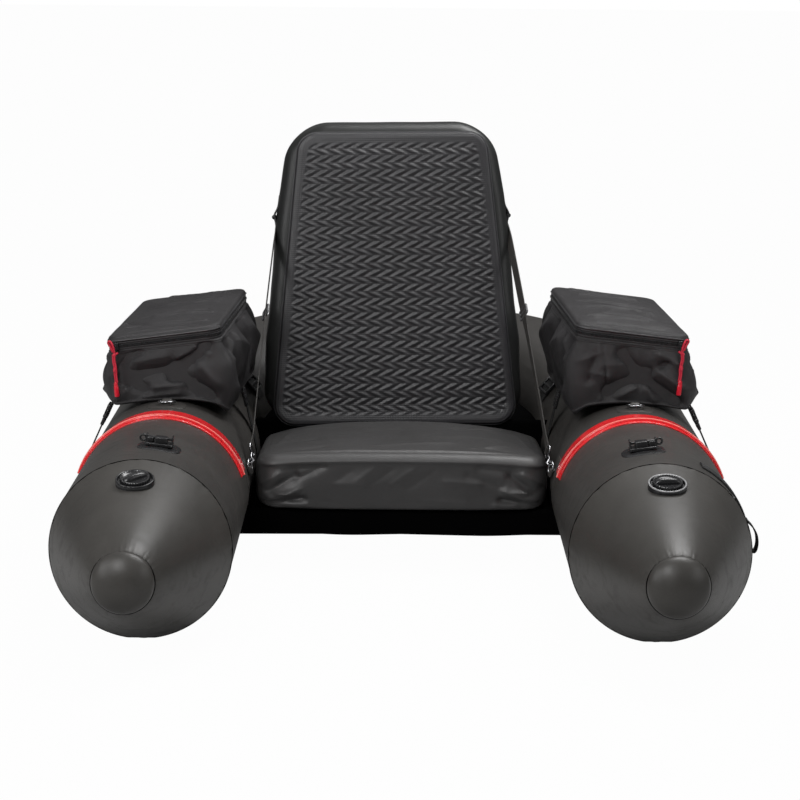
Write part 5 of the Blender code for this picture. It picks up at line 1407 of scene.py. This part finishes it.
def pad_rings():
    """One ring for each height: across the front with its relief, and back across the rear."""
    rise = 1 - np.cos(np.linspace(0, np.pi / 2, 9))
    height = np.concatenate((pad_foot + 7 * mm * rise,
                             np.arange(pad_foot + 8.6 * mm, pad_top - 8.6 * mm, 1.9 * mm),
                             pad_top - 7 * mm * rise[::-1]))
    corner = np.where(height < corner_split, pad_corners[0], pad_corners[1])
    dip = np.clip(corner - np.minimum(height - pad_foot, pad_top - height), 0, None)
    arc = corner - np.sqrt(np.maximum(corner ** 2 - dip ** 2, 0))
    half = pad_half(height) - arc
    share = np.linspace(-1, 1, 231)
    share = np.sign(share) * (1 - (1 - np.abs(share)) ** 1.04)
    x = half[:, None] * share
    rows = height[:, None] + 0 * x
    edge = pad_edge(x, rows)
    soft = 11.0 * mm
    round_edge = soft - np.sqrt(np.maximum(soft ** 2 - np.maximum(soft - edge, 0) ** 2, 0))
    foot = 1 - smooth_step((rows - pad_foot) / (45 * mm))
    border = 15 * mm + 5 * mm * smooth_step((rows - 430 * mm) / (110 * mm)) + 7 * mm * foot
    mask = smooth_step((edge - border) / (6 * mm))
    relief = mask * (ridge_height * herringbone(x, rows) - 1.4 * mm)
    bead = 1.0 * mm * np.exp(-((edge - 3.2 * mm) / (1.2 * mm)) ** 2)
    cushion_swell = 3.0 * mm * smooth_step(edge / (70 * mm))
    front = 1.6 * mm + 0.75 * round_edge - relief - bead - cushion_swell - 6 * mm * foot
    face = np.stack((x, front, rows), -1)
    rear_x = half[:, None] * np.linspace(1, -1, 25)
    rear = np.stack((rear_x, np.full_like(rear_x, 13 * mm), height[:, None] + 0 * rear_x), -1)
    return hung(np.concatenate((face, rear), 1))


pad = make_piece("back_pad", [pad_rings()], pad_cloth, body="backrest",
                 sharp=80)
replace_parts(pad, "backrest_pad")
outline, normals = tapered_outline(pad_half, pad_foot, pad_top, pad_corners, 300)
outline = outline + normals * 0.4 * mm
forward = 6.4 * mm * (1 - smooth_step((outline[:, 1] - pad_foot) / (45 * mm)))
path = np.stack((outline[:, 0], 10.6 * mm - forward, outline[:, 1]), -1)
make_piece("pad_piping", [wire(hung(path), 1.3 * mm, 8, (0, 1, 0), True)], piping_cloth,
           body="backrest", loop=True)
print("pad", len(pad.data.polygons), "faces")

# %% [markdown]
# ## Rings, hooks and back straps
# Steel D-rings turn in fabric keepers on round glued patches. From each flank ring a wire hook and
# a strap of webbing run up to a tab on the backrest's side, through a slider that sets the length.
# The strap crosses the fold of the backrest, from the hull up to the backrest's side.

# %% Patches and rings
tow_y = -68 * mm
flank_y, flank_angle = -100 * mm, -76.0
ring_lift = 6 * mm


def keeper_roll(place, length, radius):
    """The fabric roll that holds a ring's bar: a flattened round along the bar."""
    steps = np.linspace(-length / 2, length / 2, 12)
    ends = (1 - (np.abs(steps) / (length / 2)) ** 10 * 0.35)[:, None, None]
    profile = round_profile(radius, 20) * (1, 0.92) * ends
    path = placed(np.stack((steps, 0 * steps, 0 * steps), -1), place)
    return sweep(path, place[:3, 1], profile)


def ring_patch(name, side, y, angle, half_round, ring):
    """A glued patch and the roll that keeps the bar of the ring, as one piece."""
    patch = glued_patch(side, y, angle, 31 * mm, half_round, 1.6 * mm, 4.0)
    return make_piece(name, [patch, keeper_roll(ring, 18 * mm, 5.5 * mm)], hull_cloth)


def ring_path(half, depth):
    """A D: a straight bar at the foot, and a round top."""
    turn = np.linspace(0, np.pi, 33)
    arc = np.stack((half * np.cos(turn), 0 * turn, depth - half + half * np.sin(turn)), -1)
    corner = np.linspace(0, np.pi / 2, 6)[1:]
    left = np.stack((-half + 3 * mm * (1 - np.cos(corner)), 0 * corner,
                     3 * mm - 3 * mm * np.sin(corner)), -1)
    bar = np.stack((np.linspace(-half + 5 * mm, half - 5 * mm, 9), np.zeros(9), np.zeros(9)), -1)
    return np.concatenate((arc, left, bar, left[::-1] * (-1, 1, 1)))


def steel_ring(name, place, body):
    """The ring as a closed wire."""
    path = placed(ring_path(14 * mm, 21 * mm), place)
    return make_piece(name, [wire(path, 2.3 * mm, 14, place[:3, 1], True)], steel, body=body,
                      loop=True)


ring_line = ring_path(14 * mm, 21 * mm)
print("a ring measures", np.round(ring_line.max(0) - ring_line.min(0), 4))

# %% [markdown]
# The hook is one bent wire whose end goes round the ring, with an oblong eye for the webbing. The
# strap bows a little between its ends, as webbing under light pull does, and it is turned a few
# degrees about its own line. The tab swells where it folds over a roll.

# %% Hooks, straps, sliders and tabs
strap_count, slider_share = 140, 0.55
tab_depth = 51 * mm


def beside_back(side, heights, gap):
    """Places at the side of the backrest, at some heights and at one depth."""
    x = side * (back_half(heights) + gap)
    return hung(np.stack((x, np.full(len(heights), tab_depth), heights), -1))


def strap_line(side):
    """Places of the back strap: from the hook's eye in a shallow sine arc to the tab, and up it."""
    low = on_tube(side, flank_y, flank_angle, ring_lift)
    anchor = beside_back(side, np.array([372, 384, 396, 408]) * mm, 1.2 * mm)
    pull = unit(anchor[0] - low)
    start = low + pull * 52.5 * mm
    share = np.linspace(0, 0.96, 9)[:, None]
    bow = np.array([side * 2.0, -1.5, 0]) * mm
    run = start + (anchor[0] - start) * share + bow * np.sin(np.pi * share)
    return low, pull, np.concatenate((run, anchor))


def strap_hook(name, flank):
    """The hook's wire round the ring, and its oblong eye."""
    bend = np.radians(np.linspace(20, -180, 16))
    hook = np.concatenate((
        np.stack((0 * bend, 5.2 * mm * np.cos(bend), 21.7 * mm + 5.2 * mm * np.sin(bend)), -1),
        np.array([(0, -1.8, 26.9), (0, 0, 30.5), (0, 0, 36), (0, 0, 40.6)]) * mm))
    hook_wire = make_piece(name + "_hook_wire", [wire(placed(flow(hook, 40), flank), 1.8 * mm)],
                           steel)
    eye = placed(stood_up(rounded_outline(28 * mm, 10 * mm, 3 * mm), 46 * mm), flank)
    make_piece(name + "_hook_loop", [wire(eye, 2.0 * mm, 12, flank[:3, 1], True)], steel,
               loop=True)
    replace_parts(hook_wire, name + "_strap_hook")


def back_strap(name, side, pull, path, flank):
    """The webbing with its turn round the hook's eye. Returns the place of its slider."""
    places = flow(path, strap_count)
    share = np.linspace(0, 1, strap_count)
    upright = unit(np.cross(pull, (-side, 0, 0)))
    facing = np.cross(pull, upright)
    upper = smooth_step((share - 0.42) / 0.2) * (1 - smooth_step((share - 0.86) / 0.1))
    twist = math.radians(5) + math.radians(19 if side > 0 else 4) * upper
    across = upright * np.cos(twist)[:, None] + facing * np.sin(twist)[:, None]
    foot = smooth_step(share / 0.06)[:, None]
    across = unit(flank[:3, 0] * (1 - foot) + across * foot)
    strap = sweep(places, across, flat_profile(20 * mm, 1.8 * mm, 0.15 * mm))
    piece = make_piece(name + "_strap", [strap], webbing, body=None, sharp=60)
    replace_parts(piece, name + "_back_strap")
    slider_at = places[int(slider_share * strap_count)]
    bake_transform(piece)
    turn = stood_up(round_profile(3.4 * mm, 24), 51 * mm)[:, [1, 0, 2]]
    make_piece(name + "_strap_turn", [sweep(placed(turn, flank), flank[:3, 0],
               flat_profile(20 * mm, 1.8 * mm), True)], webbing, loop=True)
    wide = upright * math.cos(math.radians(22)) + facing * math.sin(math.radians(22))
    return frame_at(slider_at, pull, wide)


def strap_slider(name, clasp):
    """A round-cornered rim with one bar across it."""
    bar = block((26 * mm, 3.4 * mm, 4 * mm), 1 * mm, 1.2 * mm, clasp)
    slider = make_piece(name + "_clasp", [bar], grey_plastic, body=name + "_strap_slider")
    rim = placed(stood_up(rounded_outline(28 * mm, 20 * mm, 3 * mm)), clasp)
    make_piece(name + "_clasp_rim", [wire(rim, 2.0 * mm, 10, clasp[:3, 1], True)], grey_plastic,
               body=name + "_strap_slider", loop=True)
    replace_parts(slider, name + "_strap_slider")


def strap_tab(name, side):
    """The tab on the backrest's side: a flat strip that swells as a bell over the roll."""
    heights = np.linspace(0.374, 0.432, 30)
    swell = 6 * mm * np.exp(-((heights - 0.393) / 0.012) ** 2)
    tab_at = beside_back(side, heights, 0.3 * mm + swell)
    lean = hung(np.array([(0, 60 * mm, 0.4), (0, 42 * mm, 0.4)]))
    tab = sweep(tab_at, lean[0] - lean[1], flat_profile(34 * mm, 3.0 * mm))
    fold = keeper_roll(frame_at(tab_at[8], tab_at[9] - tab_at[8], lean[0] - lean[1]), 24 * mm,
                       5 * mm)
    make_piece(name + "_strap_tab", [tab, fold], black_rubber, body="backrest",
               sharp=60)


strap_ends = strap_line(1)[2][[0, -1]]
print("strap from", np.round(strap_ends[0], 3), "to", np.round(strap_ends[1], 3))

# %% [markdown]
# All of this sits on both sides. The tow ring lies on the tube's top line. The flank ring stands in
# the pull of its strap, so its place follows from the strap's.

# %% Rings and straps on both sides
for name, side in sides.items():
    tow = frame_at(on_tube(side, tow_y, 0.0, ring_lift), (0, -1, 0.12), (1, 0, 0))
    patch = ring_patch(name + "_tow_patch", side, tow_y, 0, 34 * mm, tow)
    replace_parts(patch, name + "_tow_ring_patch")
    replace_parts(steel_ring(name + "_tow_steel", tow, name + "_tow_ring"), name + "_tow_ring")

    low, pull, path = strap_line(side)
    flank = frame_at(low, pull, np.cross(pull, low - tube_section(side, flank_y)[0]))
    patch = ring_patch(name + "_flank_patch", side, flank_y, flank_angle, 30 * mm, flank)
    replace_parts(patch, name + "_hook_ring_patch")
    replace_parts(steel_ring(name + "_flank_steel", flank, "hull"), name + "_hook_ring")
    strap_hook(name, flank)
    strap_slider(name, back_strap(name, side, pull, path, flank))
    strap_tab(name, side)
print("tow ring at", np.round(tow[:3, 3], 3), "flank ring at", np.round(flank[:3, 3], 3))

# %% [markdown]
# ## Buckles and webbing on the tube
# Each bag is pulled down outside by a side-release buckle, and inside by a strap with a
# ladder-lock. The buckle is a socket with open sides, and a plug whose two sprung arms snap into
# them. The webbing runs from the plug's tail over the rub strake and down the tube.

# %% Outer buckles and their webbing
lock_blocks = (*(((4, 6.5, 31), 1.2, 1.8, (x, 0, 0)) for x in (-14.5, 14.5)),
               *(((30, 5.5, 4.4), 1.2, 1.8, (0, 0, z)) for z in (-13.5, 0, 13.5)))
socket_blocks = (((32, 9, 9), 2.2, 3.5, (0, 0, -13.5)), ((32, 9, 8), 2.2, 3.5, (0, 0, -32.3)),
                 ((20, 2.2, 22), 0.8, 1, (0, -3.3, -22.5)),
                 ((20, 2.2, 22), 0.8, 1, (0, 3.3, -22.5)))
plug_blocks = (((32, 7, 6), 2, 3, (0, 0, -39.8)), ((31, 6, 3.4), 1.4, 1.6, (0, 0, -48.2)),
               ((4, 3.6, 17), 1.2, 1.6, (0, 0, -29)))
plug_arm = np.array([(9, 0, -38), (11.5, 0, -31), (14.4, 0, -25), (13.8, 0, -20),
                     (11, 0, -18)]) * mm
webbing_section = flat_profile(25 * mm, 2.0 * mm, 0.15 * mm)
inner_y, rear_y = 167 * mm, 440 * mm


def outer_buckle(name, side):
    """Socket at the bag's foot and plug below it, both in line with the pull to the tube. Returns
    where the pull touches the tube, its direction, and the plug's tail."""
    start = placed(np.array([side * 106.7, -180, 3.0]) * mm, bag_place(side))
    touch = on_tube(side, start[1], 76.0, 8.8 * mm)
    down = unit(touch - start)
    place = frame_at(start, -down, (0, 1, 0))
    socket = make_piece(name + "_socket", blocks(socket_blocks, place), black_plastic)
    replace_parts(socket, name + "_outer_buckle_socket")
    tab = np.stack((0 * np.arange(8), np.full(8, -1.5 * mm), np.linspace(9, -12, 8) * mm), -1)
    make_piece(name + "_socket_tab", [sweep(placed(tab, place), (0, 1, 0),
               flat_profile(25 * mm, 2.2 * mm))], webbing)
    plug = blocks(plug_blocks, place)
    for x in (-1, 1):
        plug += blocks([((3.4, 6.4, 12), 1.2, 1.6, (x * 14.2, 0, -44))], place)
        plug.append(wire(placed(flow(plug_arm * (x, 1, 1), 24), place), 2.0 * mm, 10))
    plug = make_piece(name + "_plug", plug, black_plastic, body=name + "_plug")
    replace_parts(plug, name + "_outer_buckle_plug")
    return touch, down, placed(np.array([0, 0, -47.5 * mm]), place)


def outer_webbing(name, side, touch, down, tail):
    """From the plug's tail over the rub strake, and glued to the tube below it."""
    y = touch[1]
    over = on_tube(side, y, np.linspace(76, 99, 10), 8.8 * mm)
    below = on_tube(side, y, np.linspace(104, 119, 5), 1.5 * mm)
    route = np.concatenate(([tail, tail + down * 10 * mm], over, below))
    strap = make_piece(name + "_flank_webbing", [sweep(flow(route, 90), (0, 1, 0),
                       webbing_section)], dark_webbing, body=None, sharp=60)
    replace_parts(strap, name + "_outer_strap")
    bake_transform(strap)


print("blocks:", len(lock_blocks), "in a lock,", len(plug_blocks) + 2, "in a plug")

# %% [markdown]
# On the inner side one strap runs from the bag's foot to the tube's flank, and another is glued
# round the bend. Both pass a ladder-lock.

# %% Inner straps, and all of it on both sides
def inner_webbing(name, side):
    """From the bag's inner foot down to the tube's inner flank, with a ladder-lock on it."""
    foot = np.array([-side * 107.5 * mm, inner_y - bag_middle_y, -5 * mm])
    start = placed(foot, bag_place(side))
    wrap = on_tube(side, inner_y, np.linspace(-79, -88, 6), 1.4 * mm)
    route = np.concatenate(([start, start + (wrap[0] - start) * 0.5], wrap))
    strap = make_piece(name + "_inner_webbing", [sweep(flow(route, 60), (0, 1, 0),
                       webbing_section)], dark_webbing, sharp=60)
    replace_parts(strap, name + "_inner_front_strap")
    lock = frame_at(start + (wrap[0] - start) * 0.28, unit(wrap[0] - start), (0, 1, 0))
    lock = make_piece(name + "_inner_lock", blocks(lock_blocks, lock), black_plastic)
    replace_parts(lock, name + "_inner_front_buckle")


def rear_webbing(name, side):
    """Glued round the inner side of the bend. It swells as a bell where it passes its lock."""
    centre, outward, up = tube_section(side, rear_y)
    along = np.cross(outward, up)
    angles = np.linspace(-24, -64, 40)
    lift = 2.6 * mm + 2.2 * mm * np.exp(-((angles + 52) / 7) ** 2)
    route = on_tube(side, rear_y, angles, lift)
    spot = on_tube(side, rear_y, -52.0, 6.0 * mm)
    lock = frame_at(spot, np.cross(spot - centre, along), along)
    strap = make_piece(name + "_rear_webbing", [sweep(route, along, webbing_section)],
                       dark_webbing, sharp=60)
    make_piece(name + "_rear_lock", blocks(lock_blocks, lock), black_plastic)
    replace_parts(strap, name + "_inner_rear_strap")


for name, side in sides.items():
    touch, down, tail = outer_buckle(name, side)
    outer_webbing(name, side, touch, down, tail)
    inner_webbing(name, side)
    rear_webbing(name, side)
print("buckle down", np.round(down, 3))

# %% [markdown]
# The right pontoon also carries a strap over its shoulder. It ends in a hand loop that hangs on a
# roll, and swings.

# %% Flank strap and hand loop
strap_y = np.array([-501.0, -463.0]) * mm
root_y, root_angle = -482 * mm, 74.8
angles = np.linspace(28, 73, 60)
across = np.concatenate((np.linspace(0, 1, 13), np.linspace(1, 0, 13)))
lift = np.concatenate((3.8 * mm - 1.1 * mm * np.abs(np.linspace(-1, 1, 13)) ** 12,
                       np.full(13, touch_gap)))
shoulder = on_tube(1, strap_y[0] + (strap_y[1] - strap_y[0]) * across, angles[:, None], lift)
flank = make_piece("shoulder_webbing", [shoulder], dark_webbing, sharp=60)
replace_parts(flank, "right_flank_strap")
root = on_tube(1, root_y, root_angle, 4.0 * mm)
route = np.array([(-1.4, 1), (1.6, 12), (4.3, 24), (6.4, 36), (8.5, 46), (12.5, 52), (17, 48),
                  (19, 36), (17, 22), (10, 9), (1.8, 0.8)]) * mm
route = root + np.stack((route[:, 0], 0 * route[:, 0], -route[:, 1]), -1)
hand = make_piece("hand_webbing", [
    sweep(flow(route, 90), (0, 1, 0), flat_profile(25 * mm, 2.2 * mm, 0.15 * mm)),
    keeper_roll(frame_at(root, (1, 0, 0), (0, 1, 0)), 28 * mm, 3.4 * mm)], dark_webbing,
    body="hand_loop", sharp=60)
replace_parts(hand, "right_hand_loop")
print("loop root", np.round(root, 4))

# %% [markdown]
# ## Zip pulls
# A slider rides on each zip at the front corner. From its eye hangs a doubled red cord, knotted in
# two places, with a moulded end that a gloved hand can hold. The end of the cord stands up as a
# bight over the slider. One strand is the cord, and the second strand with the knots is a piece
# that goes with it. A knot is a turned form whose radius swells and shrinks a little round the
# cord, and from ring to ring.

# %% Sliders, cords and ends
slider_inset, slider_ahead, zip_height = 16.5 * mm, 4.1 * mm, 110.15 * mm
slider_blocks = (((9, 5, 14), 1.4, 2.2, (0, 0, 0)), ((5.5, 4, 15), 1.2, 1.4, (0, -1.6, 0)))
slider_eye = np.array([(0, -1.8, 3), (0, -4.6, 1), (0, -5.2, -5), (0, -4.4, -10.4),
                       (0, -2.4, -11.6), (0, -1.6, -8)]) * mm
cord_route = np.array([(0, 0, 0), (5.5, -2.0, -4), (7.0, -3.0, -15), (5.5, -3.6, -28),
                       (6.5, -4.2, -42), (6, -4.4, -54)]) * mm
bight_route = np.array([(0, 0, 0), (6, -1.6, 3), (9, -2, 11), (13, -2, 20), (9, -2.6, 22),
                        (5, -2.4, 13), (3, -2, 2)]) * mm
knot_profile = np.array([(0.4, 4.6), (1.8, 4.4), (2.9, 3.2), (2.7, 1.6), (3.3, 0.2), (2.8, -1.4),
                         (3.1, -2.8), (2.0, -4.2), (0.4, -4.6)]) * mm
bow_profile = np.array([(0.4, 6.0), (2.2, 5.4), (2.9, 2.0), (2.4, -1.0), (2.8, -4.0),
                        (0.4, -6.4)]) * mm
end_profile = np.array([(0.5, 1.2), (2.4, 1.0), (3.3, -1.0), (3.7, -4), (3.6, -6), (4.2, -7),
                        (4.3, -15), (4.5, -23), (4.1, -25.4), (2.6, -26.2), (0.5, -26.2)]) * mm


def knot_on(places, k, profile, lobes, depth):
    """A knot at place k of the cord: radius times 1 + depth sin(lobes a + ring number)."""
    rows = np.arange(len(profile))[:, None]
    at = frame_at(places[k], places[k] - places[k + 1], (1, 0, 0))
    return lathe(profile, at, 16, lambda turn: 1 + depth * np.sin(lobes * turn[None] + rows))


for name, side in sides.items():
    place = bag_place(side)
    middle = np.array([side * (bag_size[0] / 2 - slider_inset), -bag_size[1] / 2 - slider_ahead,
                       zip_height])
    middle = slumped(middle, side, name)
    at = place.copy()
    at[:3, 3] = placed(middle, place)
    body = blocks(slider_blocks, at) + [wire(placed(flow(slider_eye, 30), at), 0.9 * mm, 8)]
    slider = make_piece(name + "_slider", body, black_plastic, body=name + "_zip_pull")
    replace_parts(slider, name + "_zip_slider")
    top = middle - np.array([0, 2.5, 11.3]) * mm
    places = flow(placed(top + cord_route * (side, 1, 1), place), 40)
    cord = make_piece(name + "_pull_cord", [wire(places, 1.8 * mm, 12)], red_cord,
                      body=name + "_zip_pull")
    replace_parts(cord, name + "_zip_cord")
    bight = placed(top + flow(bight_route * (side, 1, 1), 40), place)
    second = places + np.array([-side * 2.9, -0.4, 0]) * mm
    knots = make_piece(name + "_pull_knots", [
        knot_on(places, 23, knot_profile, 3, 0.07), knot_on(places, 3, bow_profile, 2, 0.12),
        wire(bight, 2.1 * mm, 10), wire(second, 1.7 * mm, 12)], red_cord,
        body=name + "_zip_pull")
    end_at = place.copy()
    end_at[:3, 3] = places[-1]
    end = make_piece(name + "_pull_end", [lathe(end_profile, end_at, 32)], red_plastic,
                     body=name + "_zip_pull")
    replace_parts(end, name + "_zip_cord_end")
